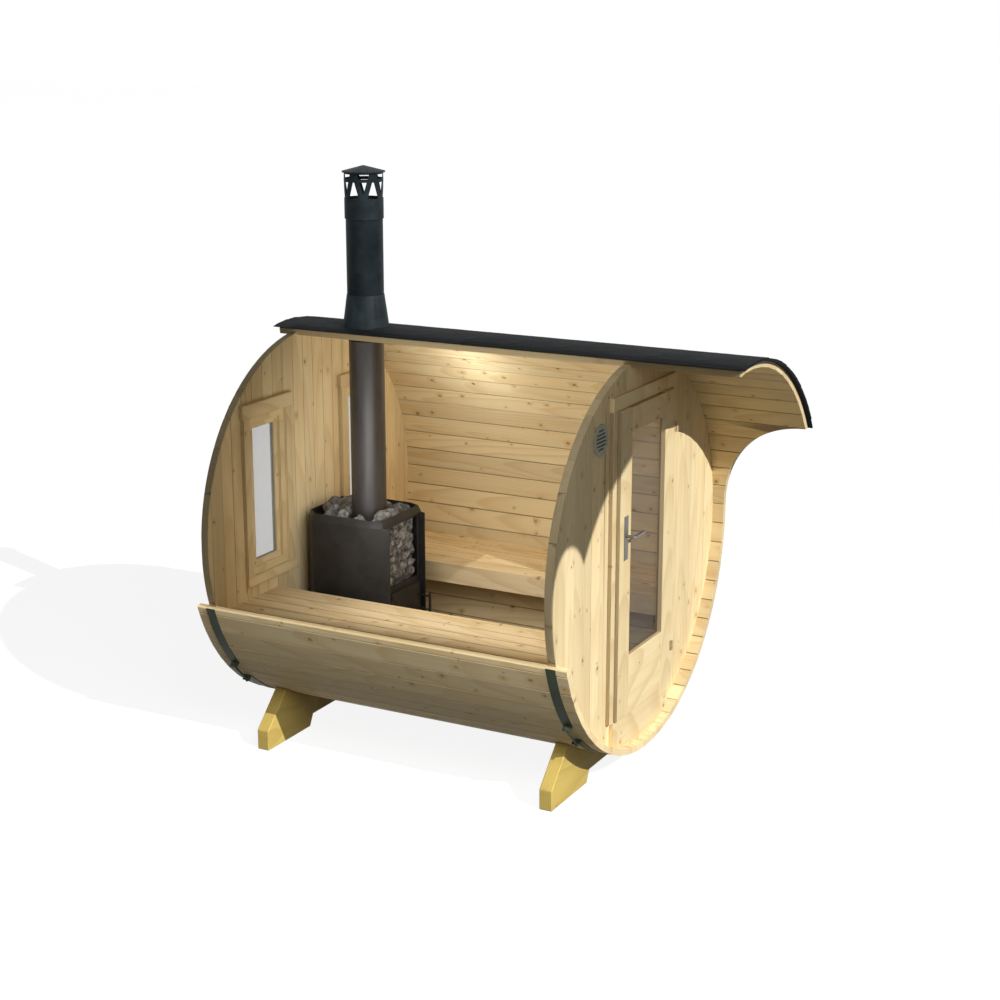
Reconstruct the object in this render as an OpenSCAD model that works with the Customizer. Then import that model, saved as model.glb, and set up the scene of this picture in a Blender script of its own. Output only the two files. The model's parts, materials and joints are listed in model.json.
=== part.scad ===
// Barrel sauna: grooved staves round two end walls, open on the near side to show the room.
// The barrel lies along Y with its door at -Y, on two cradles that stand on z = 0.
// The origin is on the ground under the middle of the overall length, awning included.

/* [Barrel] */
// Radius of the round end walls
wall_r = 1000; // [940:10:1080]
// Thickness of the end walls
wall_t = 40; // [30:1:60]
// Distance from the stave ends to the outer faces of the end walls
wall_inset = 64; // [54:1:90]
// Thickness of the staves
stave_t = 32; // [28:1:40]
// Depth of the stave grooves that hold the end walls
groove_d = 12; // [8:1:15]
// Number of staves in a whole ring
stave_n = 58; // [54:1:62]
// Number of staves left out of the near side
open_n = 16; // [13:1:17]
// Angle of the open side's lower edge below level
open_low = 18; // [15:1:22]
// Share left of the stave at the open side's lower edge
low_share = 0.34; // [0.2:0.01:0.9]
// Share left of the stave at the open side's upper edge
roof_share = 0.66; // [0.2:0.01:0.9]
// Length of the barrel between its stave ends
barrel_l = 2108; // [2000:10:2500]
// Gap at each stave joint
joint_gap = 0.5; // [0.3:0.1:0.9]

/* [Awning] */
// Reach of the awning past the stave ends, and radius of its curved ends
awning_l = 500; // [300:10:600]
// Height above the barrel axis where the awning's curve starts
awning_z = 30; // [0:5:80]
// Thickness of the shingle covering
shingle_t = 8; // [4:1:12]
// Overhang of the shingles past the stave ends
shingle_lap = 25; // [0:1:40]

/* [Cradles] */
// Height of the lowest stave above the ground
lift = 128; // [110:1:160]
// Thickness of a cradle
cradle_t = 70; // [50:1:90]
// Distance from a wall's inner face to the nearer cradle's middle
cradle_in = 115; // [90:5:300]
// Distance from the barrel's side in to a cradle's end
cradle_inset = 280; // [180:10:360]
// Height of a cradle's end faces
cradle_end = 108; // [80:1:140]
// Length of each foot of a cradle
foot_l = 400; // [250:10:500]
// Height of the hollow between the feet
foot_rise = 63; // [30:1:80]

/* [Hoops] */
// Width of a steel hoop
hoop_w = 52; // [40:1:60]
// Thickness of a steel hoop
hoop_t = 2.5; // [1.5:0.5:4]
// Angle of the tensioner, from the far side over the roof
tension_a = 225; // [214:1:236]
// Height of the tensioner's ears
ear_h = 28; // [20:1:36]
// Length of the tensioner's bolt
bolt_l = 190; // [170:5:220]
// Distance between the tensioner's ears
ear_gap = 150; // [100:5:160]

/* [Door] */
// Width of the door leaf
leaf_w = 672; // [600:1:740]
// Thickness of the door leaf
leaf_t = 35; // [30:1:45]
// Distance from the top of the wall disc down to the leaf's top
leaf_top_in = 209; // [180:1:260]
// Distance from the bottom of the wall disc up to the leaf's bottom
leaf_low_in = 210; // [190:1:260]
// Width of the leaf's stiles beside its glass
stile_w = 130; // [100:1:150]
// Height of the leaf's top rail
top_rail = 120; // [90:1:180]
// Height of the leaf's bottom rail
low_rail = 313; // [200:1:420]
// Distance that the leaf's edges lap over the doorway
leaf_lap = 24; // [16:1:34]
// Clear gap round the leaf
door_gap = 5; // [5:0.5:8]
// Thickness of the door casing
casing_t = 22; // [18:1:30]
// Width of the casing beside the leaf
casing_w = 44; // [30:1:60]
// Height of the casing over the leaf
casing_head = 69; // [50:1:90]
// Distance that the leaf's face stands in front of the casing
leaf_proud = 18; // [12:1:20]
// Thickness of the door's glass
glass_t = 8; // [6:1:10]

/* [Door furniture] */
// Width of a handle plate
plate_w = 40; // [30:1:50]
// Height of a handle plate
plate_h = 222; // [180:1:260]
// Thickness of a handle plate
plate_t = 5; // [3:1:8]
// Distance from the leaf's free edge to the handle's middle
handle_in = 69; // [55:1:80]
// Height of the lever's spindle above the barrel axis
lever_z = 160; // [100:5:220]
// Length of a lever from its spindle
lever_l = 118; // [95:1:130]
// Distance from a plate to the middle of its lever
lever_out = 42; // [35:1:55]
// Radius of a lever
lever_r = 8; // [6:0.5:10]
// Height of a door hinge
hinge_h = 54; // [48:1:90]
// Distance of each hinge from the leaf's ends
hinge_in = 200; // [150:5:300]

/* [Vent] */
// Diameter of the vent grille
vent_d = 155; // [130:1:170]
// Distance from the door casing to the vent's middle
vent_side = 109; // [100:1:150]
// Distance from the edge of the wall to the vent's middle
vent_in = 156; // [150:1:220]

/* [Windows] */
// Distance that a window's middle stands in from half the wall's radius
win_shift = 34; // [20:1:60]
// Width of a window's opening in the wall
win_w = 331; // [280:1:345]
// Distance from the top of the wall disc down to a window's opening
win_top_in = 382; // [380:1:460]
// Height of a window's opening
win_h = 848; // [700:1:860]
// Width of the window casing's sides
win_casing = 52; // [40:1:60]
// Height of the window casing's head
win_head = 72; // [50:1:74]
// Overhang of the casing's head past its sides
win_head_lap = 9; // [0:1:14]
// Width of a window's outer frame
win_frame = 38; // [30:1:45]
// Width of a window's sash
win_sash = 32; // [25:1:40]

/* [Benches and floor] */
// Height of the bench tops above the floor
bench_h = 479; // [430:1:510]
// Half width of the aisle between the benches
aisle_half = 394; // [330:1:420]
// Height of the bench aprons
apron_h = 110; // [90:1:130]
// Thickness of the aprons and bench boards
bench_t = 28; // [22:1:34]
// Number of boards on each bench
bench_n = 5; // [4:1:6]
// Gap between boards
board_gap = 4; // [2:1:8]
// Number of bearers under each bench, and under the floor
bearer_n = 4; // [3:1:6]
// Width of a bearer
bearer_w = 45; // [35:1:60]
// Height of the floor's top above the lowest stave
floor_h = 158; // [148:1:188]
// Thickness of the floor boards
floor_t = 26; // [20:1:32]
// Number of floor boards
floor_n = 9; // [7:1:10]

/* [Stove] */
// Width of the stove
stove_w = 470; // [420:5:500]
// Depth of the stove
stove_d = 500; // [460:5:520]
// Distance from the back wall to the stove
stove_back = 50; // [40:5:100]
// Height of the stove from the floor to its lip
stove_h = 820; // [780:5:860]
// Height of the collar round the stones
collar_rise = 38; // [30:1:60]
// Distance that the collar leans inwards
collar_lean = 14; // [8:1:20]
// Cut of the stove's front corners across it
front_cut_x = 33; // [25:1:45]
// Cut of the stove's front corners along it
front_cut_y = 73; // [60:1:90]
// Cut of the stove's back corners
back_cut = 78; // [60:1:90]
// Reach of the side sheets past the stove's front
fin_l = 30; // [20:1:35]
// Thickness of the side sheets in front
fin_t = 6; // [5:1:8]
// Wall thickness of the stove
stove_t = 10; // [8:1:14]
// Height of the stove's feet
stove_foot = 40; // [30:1:50]
// Height of the stone basket
basket_h = 365; // [330:5:390]
// Width of the basket's front opening
basket_w = 330; // [280:5:340]
// Width of the firebox door
fire_w = 290; // [270:5:300]
// Height of the firebox door
fire_h = 330; // [300:5:345]
// Thickness of the firebox door
fire_t = 14; // [10:1:18]
// Distance that the firebox door laps its opening
fire_lap = 22; // [16:1:28]
// Length of the firebox door's bar handle
bar_l = 110; // [90:5:140]
// Distance of the bar handle from the door's face
bar_out = 70; // [50:1:80]

/* [Smoke way] */
// Distance from the stove's front to the flue's middle
flue_in = 207; // [190:1:240]
// Outer diameter of the flue pipe in the room
flue_d = 188; // [160:1:190]
// Wall thickness of the pipes
pipe_t = 3; // [2:0.5:4]
// Height from the roof staves to the collar on the chimney pipe
chimney_h = 577; // [430:1:680]
// Height of the collar on the chimney pipe
collar_h = 100; // [80:1:130]
// Thickness that the collar adds to the pipe
collar_t = 5; // [3:1:8]
// Height of the flashing cone
flash_h = 172; // [140:1:200]
// Widening of the flashing cone at its foot
flash_out = 24; // [15:1:40]
// Height of the pierced cap
cap_h = 138; // [110:1:160]
// Number of cut-outs of each kind round the cap
cap_n = 6; // [5:1:8]
// Width of the cap's strips
cap_strip = 21; // [14:1:24]
// Overhang of the lid past the cap
lid_lap = 11; // [6:1:18]
// Height of the lid's cone
lid_h = 30; // [20:1:45]

/* [Hidden] */

// Small clearances: where pieces seat, at running pins, and the reach of cuts past a face
seat = 0.3;
pin_fit = 0.08;
over = 2;
groove_fit = 0.2;
$fn = 96;

// Barrel
pitch = 360 / stave_n;
stave_in = wall_r - groove_d;
stave_out = stave_in + stave_t;
inside_r = stave_in - seat;
outside_r = stave_out / cos(pitch / 2) + seat;
axis_h = lift + stave_out;
first_a = 180 + open_low;
first_joint = first_a + low_share * pitch;
ring_n = stave_n - open_n + 1;
last_a = first_joint + (ring_n - 2 + roof_share) * pitch - 360;
back_y = (barrel_l + awning_l) / 2;
tip_y = -back_y;
front_y = tip_y + awning_l;
mid_y = (front_y + back_y) / 2;
front_wall_y = front_y + wall_inset;
room_front = front_wall_y + wall_t;
back_wall_y = back_y - wall_inset - wall_t;
room_l = back_wall_y - room_front;
half_in = stave_in * tan(pitch / 2) - joint_gap / 2;
half_out = stave_out * tan(pitch / 2) - joint_gap / 2;
group_n = 5;
far_a = asin((awning_l + awning_z) / stave_out);
cradle_half = stave_out - cradle_inset;
huge = 4 * wall_r;

// Door, its furniture and the vent
leaf_half = leaf_w / 2;
leaf_top = wall_r - leaf_top_in;
leaf_low = leaf_low_in - wall_r;
leaf_y = front_wall_y - casing_t - leaf_proud;
leaf_back = leaf_y + leaf_t;
way_half = leaf_half - leaf_lap;
way_top = leaf_top - leaf_lap;
way_low = leaf_low + leaf_lap;
pane_half = leaf_half - stile_w;
pane_top = leaf_top - top_rail;
pane_low = leaf_low + low_rail;
pane_lap = 12;
pane_rebate = glass_t + 4;
casing_half = leaf_half + door_gap + casing_w;
casing_top = leaf_top + door_gap + casing_head;
sill_half = leaf_half + 2 * door_gap;
handle_x = handle_in - leaf_half;
plate_z = lever_z - 10;
spindle_r = 5;
knuckle_r = 6.5;
hinge_pin_r = 3.5;
hinge_plate_t = 3;
hinge_plate_w = 20;
hinge_x = leaf_half + door_gap / 2;
hinge_y = leaf_y - knuckle_r - 1.5;
hinge_zs = [leaf_low + hinge_in, leaf_top - hinge_in];
vent_x = casing_half + vent_side;
vent_z = sqrt(pow(wall_r - vent_in, 2) - vent_x * vent_x);
vent_flange = 6;
vent_sleeve_r = vent_d / 2 - 14;
vent_wall = 3;
vent_slots = 6;

// Windows
win_top = wall_r - win_top_in;
win_low = win_top - win_h;
win_half = win_w / 2;
win_x = wall_r / 2 - win_shift;
win_sill = win_casing;
sash_set = 14;
sash_out = 2;
frame_proud = 5;
pane_set = 23;
pane_w = win_w - 2 * (win_frame + win_sash);
pane_h = win_h - 2 * (win_frame + win_sash);
rebate = 10;

// Benches and floor
floor_top = floor_h - stave_in;
floor_under = floor_top - floor_t;
floor_half = sqrt(inside_r * inside_r - floor_under * floor_under);
bench_top = floor_top + bench_h;
bench_under = bench_top - bench_t;
bench_low = bench_top - apron_h;
bench_back = sqrt(inside_r * inside_r - bench_top * bench_top);
bearer_y0 = room_front + 0.12 * room_l;
bearer_step = 0.76 * room_l / (bearer_n - 1);

// Stove
stove_half = stove_w / 2;
stove_y1 = back_wall_y - stove_back;
stove_y0 = stove_y1 - stove_d;
stove_low = floor_top + stove_foot;
lip_z = floor_top + stove_h;
deck_z = lip_z - basket_h;
stove_front_half = stove_half - front_cut_x;
foot_w = 45;
basket_half = basket_w / 2;
basket_low = deck_z + 15;
basket_top = lip_z - 12;
fire_top = deck_z - 15;
fire_low = fire_top - fire_h;
fire_half = fire_w / 2;
fire_way_half = fire_half - fire_lap;
fire_gap = 5;
fire_y = stove_y0 - fire_gap - fire_t;
fire_pin_r = 5;
fire_knuckle_r = 9;
fire_knuckle_h = 40;
fire_hinge_x = -fire_half - 4;
fire_hinge_y = fire_y + fire_t / 2;
fire_knuckle_in = 50;
lug_h = 12;
bar_r = 7;
bar_x = fire_half - 13;
bar_z = fire_top - 110;

// Smoke way
flue_r = flue_d / 2;
flue_y = stove_y0 + flue_in;
chimney_in = flue_r + seat;
chimney_r = chimney_in + pipe_t;
hole_r = chimney_r + 12;
shingle_r = outside_r + shingle_t;
flue_top = stave_in + 10;
chimney_low = stave_in - 30;
chimney_z = stave_out + chimney_h;
collar_r = chimney_r + collar_t;
cap_top = chimney_z + collar_h + cap_h;
lid_t = 6;

// Shapes that several pieces share

// A flat outline in X and Z, run along Y from y0 to y1, with Z measured from the barrel axis.
module along_y(y0, y1)
    translate([0, y1, axis_h]) rotate([90, 0, 0]) linear_extrude(y1 - y0) children();

// A box between two corners, with Z measured from the barrel axis.
module block(low, high)
    translate(low + [0, 0, axis_h]) cube(high - low);

// A round band about the barrel axis, from angle a0 to a1 and from y0 to y1.
module round_band(r0, r1, a0, a1, y0, y1)
    translate([0, y1, axis_h]) rotate([90, 0, 0]) rotate([0, 0, a0])
        rotate_extrude(angle = a1 - a0, $fn = 180)
            translate([r0, 0]) square([r1 - r0, y1 - y0]);

// An upright tube about the flue's axis.
module upright_tube(r_in, r_out, z0, z1)
    translate([0, flue_y, axis_h + z0])
        difference() {
            cylinder(r = r_out, h = z1 - z0);
            translate([0, 0, -over]) cylinder(r = r_in, h = z1 - z0 + 2 * over);
        }

// The hole that the chimney needs through the roof.
module roof_hole()
    translate([0, flue_y, axis_h]) cylinder(r = hole_r, h = huge);

// Staves

function stave_angle(i) = first_joint + (i - 0.5) * pitch;
function low_side(i, r, half) = i == 0 ? r * tan((0.5 - low_share) * pitch) : -half;
function high_side(i, r, half) = i == ring_n - 1 ? r * tan((roof_share - 0.5) * pitch) : half;
function stave_high(i) = stave_out * max(sin(stave_angle(i) + pitch / 2), sin(stave_angle(i)));
function in_awning(i) = i > ring_n / 2 && stave_high(i) > awning_z;

module stave(i)
    translate([0, 0, axis_h]) rotate([0, -stave_angle(i), 0])
        difference() {
            y0 = in_awning(i) ? tip_y : front_y;
            translate([0, back_y, 0]) rotate([90, 0, 0]) linear_extrude(back_y - y0)
                polygon([[stave_in, low_side(i, stave_in, half_in)],
                         [stave_out, low_side(i, stave_out, half_out)],
                         [stave_out, high_side(i, stave_out, half_out)],
                         [stave_in, high_side(i, stave_in, half_in)]]);
            for (y = [front_wall_y, back_wall_y])
                translate([stave_in - over, y - groove_fit, -2 * half_out])
                    cube([groove_d + over, wall_t + 2 * groove_fit, 4 * half_out]);
        }

// What is cut away under the awning: a quarter round that ends at the stave ends.
module awning_cut() {
    translate([0, tip_y, axis_h + awning_z]) rotate([0, 90, 0])
        cylinder(r = awning_l, h = huge, center = true, $fn = 180);
    block([-huge / 2, tip_y - awning_l, -huge / 2], [huge / 2, front_y, awning_z]);
}

module stave_group(g)
    color("#d8b982") difference() {
        for (i = [round(ring_n * g / group_n) : round(ring_n * (g + 1) / group_n) - 1]) stave(i);
        if (g >= group_n - 2) awning_cut();
        if (g == group_n - 1) roof_hole();
    }

module near_staves() stave_group(0);
module bottom_staves() stave_group(1);
module far_lower_staves() stave_group(2);
module far_upper_staves() stave_group(3);
module roof_staves() stave_group(4);

module roof_shingles()
    color("#23282a") difference() {
        round_band(outside_r, shingle_r, far_a, last_a, tip_y - shingle_lap, back_y + shingle_lap);
        roof_hole();
    }

// Hoops and cradles

module hoop(y) {
    ear_t = 5;
    ear_a = asin(ear_gap / 2 / outside_r);
    ear_w = hoop_w - 8;
    y0 = y - hoop_w / 2;
    y1 = y + hoop_w / 2;
    color("#3a4238") {
        round_band(outside_r, outside_r + hoop_t, first_a, tension_a - ear_a, y0, y1);
        round_band(outside_r, outside_r + hoop_t, tension_a + ear_a, 360 + far_a - 1, y0, y1);
        for (side = [-1, 1])
            translate([0, y, axis_h]) rotate([0, -tension_a - side * ear_a, 0])
                translate([outside_r + hoop_t / 3, -ear_w / 2, -ear_t / 2]) cube([ear_h, ear_w, ear_t]);
        translate([0, y, axis_h]) rotate([0, -tension_a, 0])
            translate([outside_r + 0.65 * ear_h, 0, -bolt_l / 2]) cylinder(r = 6, h = bolt_l);
    }
}

module front_hoop() hoop(front_wall_y + wall_t / 2);
module back_hoop() hoop(back_wall_y + wall_t / 2);

module cradle(y)
    color("#cdb068") along_y(y - cradle_t / 2, y + cradle_t / 2)
        difference() {
            polygon([[-cradle_half, -axis_h], [-cradle_half + foot_l, -axis_h],
                     [-cradle_half + foot_l + foot_rise / 2, foot_rise - axis_h],
                     [cradle_half - foot_l - foot_rise / 2, foot_rise - axis_h],
                     [cradle_half - foot_l, -axis_h], [cradle_half, -axis_h],
                     [cradle_half, cradle_end - axis_h], [0, cradle_end + cradle_half - axis_h],
                     [-cradle_half, cradle_end - axis_h]]);
            circle(outside_r, $fn = 180);
        }

module front_cradle() cradle(room_front + cradle_in);
module back_cradle() cradle(back_wall_y - cradle_in);

// Front wall

module wall_disc(y) along_y(y, y + wall_t) circle(wall_r - seat, $fn = 180);

module front_wall_left()
    color("#e2c690") difference() {
        intersection() {
            wall_disc(front_wall_y);
            block([-huge, front_wall_y - over, -huge], [-way_half, room_front + over, huge]);
        }
        translate([-vent_x, room_front + over, axis_h + vent_z]) rotate([90, 0, 0])
            cylinder(r = vent_sleeve_r + seat, h = wall_t + 2 * over);
    }

module front_wall_right()
    color("#e2c690") intersection() {
        wall_disc(front_wall_y);
        block([way_half, front_wall_y - over, -huge], [huge, room_front + over, huge]);
    }

module front_wall_over_door()
    color("#e2c690") intersection() {
        wall_disc(front_wall_y);
        block([-way_half, front_wall_y - over, way_top], [way_half, room_front + over, huge]);
    }

module front_wall_under_door()
    color("#e2c690") intersection() {
        wall_disc(front_wall_y);
        block([-way_half, front_wall_y - over, -huge], [way_half, room_front + over, way_low]);
    }

// Trim in front of a wall stays inside the ring of staves.
module inside_ring(y0, y1) intersection() {
    children();
    along_y(y0 - over, y1 + over) circle(inside_r, $fn = 180);
}

module door_casing() {
    y0 = front_wall_y - casing_t;
    jamb_low = leaf_low - door_gap;
    head_low = leaf_top + door_gap;
    color("#e5c893") inside_ring(y0, front_wall_y) {
        for (side = [-1, 1]) {
            x0 = side > 0 ? leaf_half + door_gap : -casing_half;
            block([x0, y0, jamb_low], [x0 + casing_w, front_wall_y, head_low - joint_gap]);
        }
        block([-casing_half, y0, head_low], [casing_half, front_wall_y, casing_top]);
    }
}

module door_sill()
    color("#e0c38c") inside_ring(front_wall_y - casing_t, front_wall_y)
        block([-sill_half, front_wall_y - casing_t, -huge],
              [sill_half, front_wall_y, leaf_low - door_gap - joint_gap]);

module vent_grille() {
    slot_pitch = 2 * vent_sleeve_r / (vent_slots + 1);
    slot_h = slot_pitch / 2;
    color("#7c8478") difference() {
        translate([-vent_x, front_wall_y, axis_h + vent_z]) rotate([90, 0, 0]) {
            cylinder(r = vent_d / 2, h = vent_flange);
            translate([0, 0, -wall_t]) cylinder(r = vent_sleeve_r, h = wall_t);
        }
        translate([-vent_x, room_front + over, axis_h + vent_z]) rotate([90, 0, 0])
            cylinder(r = vent_sleeve_r - vent_wall, h = wall_t + over);
        for (i = [0 : vent_slots - 1]) {
            z = vent_z + (i - (vent_slots - 1) / 2) * slot_pitch;
            reach = sqrt(pow(vent_sleeve_r - 2 * vent_wall, 2) - pow(abs(z - vent_z) + slot_h / 2, 2));
            block([-vent_x - reach, front_wall_y - vent_flange - over, z - slot_h / 2],
                  [-vent_x + reach, front_wall_y + over, z + slot_h / 2]);
        }
    }
}

// Back wall and its windows

module back_wall_part(x0, x1, z0, z1)
    color("#d9bb85") intersection() {
        wall_disc(back_wall_y);
        block([x0, back_wall_y - over, z0], [x1, back_wall_y + wall_t + over, z1]);
    }

module back_wall_near() back_wall_part(-huge, -win_x - win_half, -huge, huge);
module back_wall_far() back_wall_part(win_x + win_half, huge, -huge, huge);
module back_wall_middle() back_wall_part(-win_x + win_half, win_x - win_half, -huge, huge);

module back_wall_over_windows()
    for (side = [-1, 1])
        back_wall_part(side * win_x - win_half, side * win_x + win_half, win_top, huge);

module back_wall_under_windows()
    for (side = [-1, 1])
        back_wall_part(side * win_x - win_half, side * win_x + win_half, -huge, win_low);

// A flat ring in X and Z round the middle of a window, w wide, inset by inset from the opening.
module window_ring(x, y0, y1, inset, w) difference() {
    block([x - win_half + inset, y0, win_low + inset], [x + win_half - inset, y1, win_top - inset]);
    block([x - win_half + inset + w, y0 - over, win_low + inset + w],
          [x + win_half - inset - w, y1 + over, win_top - inset - w]);
}

// Frame and sash in the opening, with a casing on each face of the wall.
module window_frame(x) {
    wall_out = back_wall_y + wall_t;
    out_half = win_half + win_casing;
    color("#dfc18b") {
        difference() {
            union() {
                window_ring(x, back_wall_y - frame_proud, wall_out + frame_proud, seat, win_frame);
                window_ring(x, back_wall_y + sash_set, wall_out - sash_out,
                            win_frame - over, win_sash + over);
            }
            block([x - pane_w / 2 - rebate, back_wall_y + pane_set - seat,
                   (win_top + win_low - pane_h) / 2 - rebate],
                  [x + pane_w / 2 + rebate, back_wall_y + pane_set + glass_t + seat,
                   (win_top + win_low + pane_h) / 2 + rebate]);
        }
        for (y = [back_wall_y - casing_t, wall_out])
            inside_ring(y, y + casing_t) difference() {
                union() {
                    block([x - out_half, y, win_low - win_sill], [x + out_half, y + casing_t, win_top]);
                    block([x - out_half - win_head_lap, y, win_top],
                          [x + out_half + win_head_lap, y + casing_t, win_top + win_head]);
                }
                block([x - win_half, y - over, win_low], [x + win_half, y + casing_t + over, win_top]);
            }
    }
}

module near_window_frame() window_frame(-win_x);
module far_window_frame() window_frame(win_x);

module window_glass(x) {
    half = pane_w / 2 + rebate - seat;
    mid = (win_top + win_low) / 2;
    tall = pane_h / 2 + rebate - seat;
    color("#c9ced0") block([x - half, back_wall_y + pane_set, mid - tall],
                           [x + half, back_wall_y + pane_set + glass_t, mid + tall]);
}

module near_window_glass() window_glass(-win_x);
module far_window_glass() window_glass(win_x);

// Benches and floor

// A row of n boards from x0 to x1 that end inside the ring of staves.
module board_row(x0, x1, n, z0, z1) {
    board = (x1 - x0 - (n - 1) * board_gap) / n;
    inside_ring(room_front, back_wall_y)
        for (i = [0 : n - 1]) {
            x = x0 + i * (board + board_gap);
            block([x, room_front, z0], [x + board, back_wall_y, z1]);
        }
}

module bench_boards(side)
    color("#dcb981") mirror([side > 0 ? 0 : 1, 0, 0])
        board_row(aisle_half + bench_t + board_gap, bench_back, bench_n, bench_under, bench_top);

module bench_frame(side)
    color("#d2ac72") mirror([side > 0 ? 0 : 1, 0, 0]) {
        block([aisle_half, room_front, bench_low], [aisle_half + bench_t, back_wall_y, bench_top]);
        inside_ring(room_front, back_wall_y)
            for (i = [0 : bearer_n - 1]) {
                y = bearer_y0 + i * bearer_step;
                block([aisle_half + bench_t / 2, y - bearer_w / 2, bench_low + bench_t / 2],
                      [bench_back, y + bearer_w / 2, bench_under]);
            }
    }

module near_bench_boards() bench_boards(-1);
module near_bench_frame() bench_frame(-1);
module far_bench_boards() bench_boards(1);
module far_bench_frame() bench_frame(1);

module floor_boards()
    color("#c9a66c") board_row(-floor_half, floor_half, floor_n, floor_under, floor_top);

module floor_bearers()
    color("#b8945c") inside_ring(room_front, back_wall_y)
        for (i = [0 : bearer_n - 1]) {
            y = bearer_y0 + i * bearer_step;
            block([-floor_half, y - bearer_w / 2, -huge], [floor_half, y + bearer_w / 2, floor_under]);
        }

// Stove

// The stove's outline from above, with cut corners, brought in by inset.
module stove_outline(inset) {
    slant = sqrt(front_cut_x * front_cut_x + front_cut_y * front_cut_y);
    half = stove_half - inset;
    front = stove_y0 + inset;
    front_half = stove_front_half - inset * (slant - front_cut_x) / front_cut_y;
    side_y = stove_y0 + front_cut_y + inset * (slant - front_cut_y) / front_cut_x;
    back = stove_y1 - inset;
    cut = back_cut - inset * (2 - sqrt(2));
    polygon([[-half, back - cut], [-half, side_y], [-front_half, front], [front_half, front],
             [half, side_y], [half, back - cut], [half - cut, back], [-half + cut, back]]);
}

// The side sheets run on past the front, beside the opening and the firebox door.
module stove_fins() {
    lean = front_cut_x / front_cut_y;
    for (side = [0, 1])
        mirror([side, 0, 0]) translate([0, 0, axis_h + stove_low]) linear_extrude(lip_z - stove_low)
            polygon([[stove_front_half + over * lean, stove_y0 + over],
                     [stove_front_half - fin_l * lean, stove_y0 - fin_l],
                     [stove_front_half - fin_l * lean - fin_t, stove_y0 - fin_l],
                     [stove_front_half + over * lean - fin_t, stove_y0 + over]]);
}

module stove_slab(inset, z0, z1)
    translate([0, 0, axis_h + z0]) linear_extrude(z1 - z0) stove_outline(inset);

module fire_pins() {
    for (z = [fire_low + fire_knuckle_in, fire_top - fire_knuckle_in]) {
        low = z - fire_knuckle_h / 2 - lug_h - 1;
        block([fire_hinge_x - fire_knuckle_r, fire_hinge_y - fire_knuckle_r, low],
              [fire_hinge_x + fire_knuckle_r, stove_y0 + stove_t / 2, low + lug_h]);
        translate([fire_hinge_x, fire_hinge_y, axis_h + low])
            cylinder(r = fire_pin_r, h = lug_h + fire_knuckle_h + 2);
    }
}

module stove_body()
    color("#2e2b29") {
        difference() {
            stove_slab(0, stove_low, lip_z);
            stove_slab(stove_t, deck_z, lip_z + over);
            stove_slab(stove_t, stove_low + stove_t, deck_z - stove_t);
            block([-basket_half, stove_y0 - over, basket_low],
                  [basket_half, stove_y0 + stove_t + over, basket_top]);
            block([-fire_way_half, stove_y0 - over, fire_low + fire_lap],
                  [fire_way_half, stove_y0 + stove_t + over, fire_top - fire_lap]);
            translate([0, flue_y, axis_h + deck_z - 2 * stove_t])
                cylinder(r = flue_r - pipe_t, h = 3 * stove_t);
        }
        stove_fins();
        for (side = [-1, 1], y = [stove_y0 + front_cut_y, stove_y1 - back_cut - foot_w])
            block([side * (stove_half - foot_w) - foot_w / 2, y, floor_top],
                  [side * (stove_half - foot_w) + foot_w / 2, y + foot_w, stove_low + over]);
        fire_pins();
    }

// The stove's outline from the lip up, leaning inwards.
module leaning_slab(inset) {
    edge = 1;
    hull() {
        stove_slab(inset, lip_z, lip_z + edge);
        stove_slab(inset + collar_lean, lip_z + collar_rise - edge, lip_z + collar_rise);
    }
}

module stove_collar()
    color("#2e2b29") difference() {
        leaning_slab(0);
        leaning_slab(stove_t / 2);
    }

// The heap of stones in the basket, crowned, with room for the flue.
module stove_stones() {
    crown_r = 1.6 * stove_w;
    color("#6b6763") difference() {
        intersection() {
            stove_slab(stove_t + seat, deck_z, lip_z + collar_rise);
            translate([0, (stove_y0 + stove_y1) / 2, axis_h + lip_z + 0.8 * collar_rise - crown_r])
                sphere(r = crown_r, $fn = 120);
        }
        translate([0, flue_y, axis_h + deck_z - over]) cylinder(r = flue_r + seat, h = huge);
    }
}

module firebox_door() {
    color("#34312f") difference() {
        union() {
            block([-fire_half, fire_y, fire_low], [fire_half, fire_y + fire_t, fire_top]);
            for (z = [fire_low + fire_knuckle_in, fire_top - fire_knuckle_in])
                translate([fire_hinge_x, fire_hinge_y, axis_h + z - fire_knuckle_h / 2])
                    cylinder(r = fire_knuckle_r, h = fire_knuckle_h);
        }
        for (z = [fire_low + fire_knuckle_in, fire_top - fire_knuckle_in]) {
            translate([fire_hinge_x, fire_hinge_y, axis_h + z - fire_knuckle_h / 2 - over])
                cylinder(r = fire_pin_r + pin_fit, h = fire_knuckle_h + 2 * over);
            low = z - fire_knuckle_h / 2 - lug_h - 2;
            block([fire_hinge_x, fire_y - over, low],
                  [fire_hinge_x + 2 * fire_knuckle_r, fire_y + fire_t + over, low + lug_h + 2]);
            block([fire_hinge_x, fire_y - over, z + fire_knuckle_h / 2],
                  [fire_hinge_x + fire_pin_r + 4, fire_y + fire_t + over, z + fire_knuckle_h / 2 + 4]);
        }
    }
}

module firebox_handle()
    color("#8b8a86") translate([bar_x, fire_y, axis_h + bar_z]) {
        translate([0, -bar_out, -bar_l / 2]) cylinder(r = bar_r, h = bar_l);
        for (side = [-1, 1])
            translate([0, 0, side * (bar_l / 2 - 16)]) rotate([90, 0, 0])
                cylinder(r = bar_r - 2, h = bar_out);
    }

// Smoke way

module flue_pipe()
    color("#4a4541") upright_tube(flue_r - pipe_t, flue_r, deck_z, flue_top);

module chimney_pipe()
    color("#1c2326") {
        upright_tube(chimney_in, chimney_r, chimney_low, chimney_z + collar_h);
        upright_tube(chimney_in + pipe_t / 2, collar_r, chimney_z, chimney_z + collar_h);
    }

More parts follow.
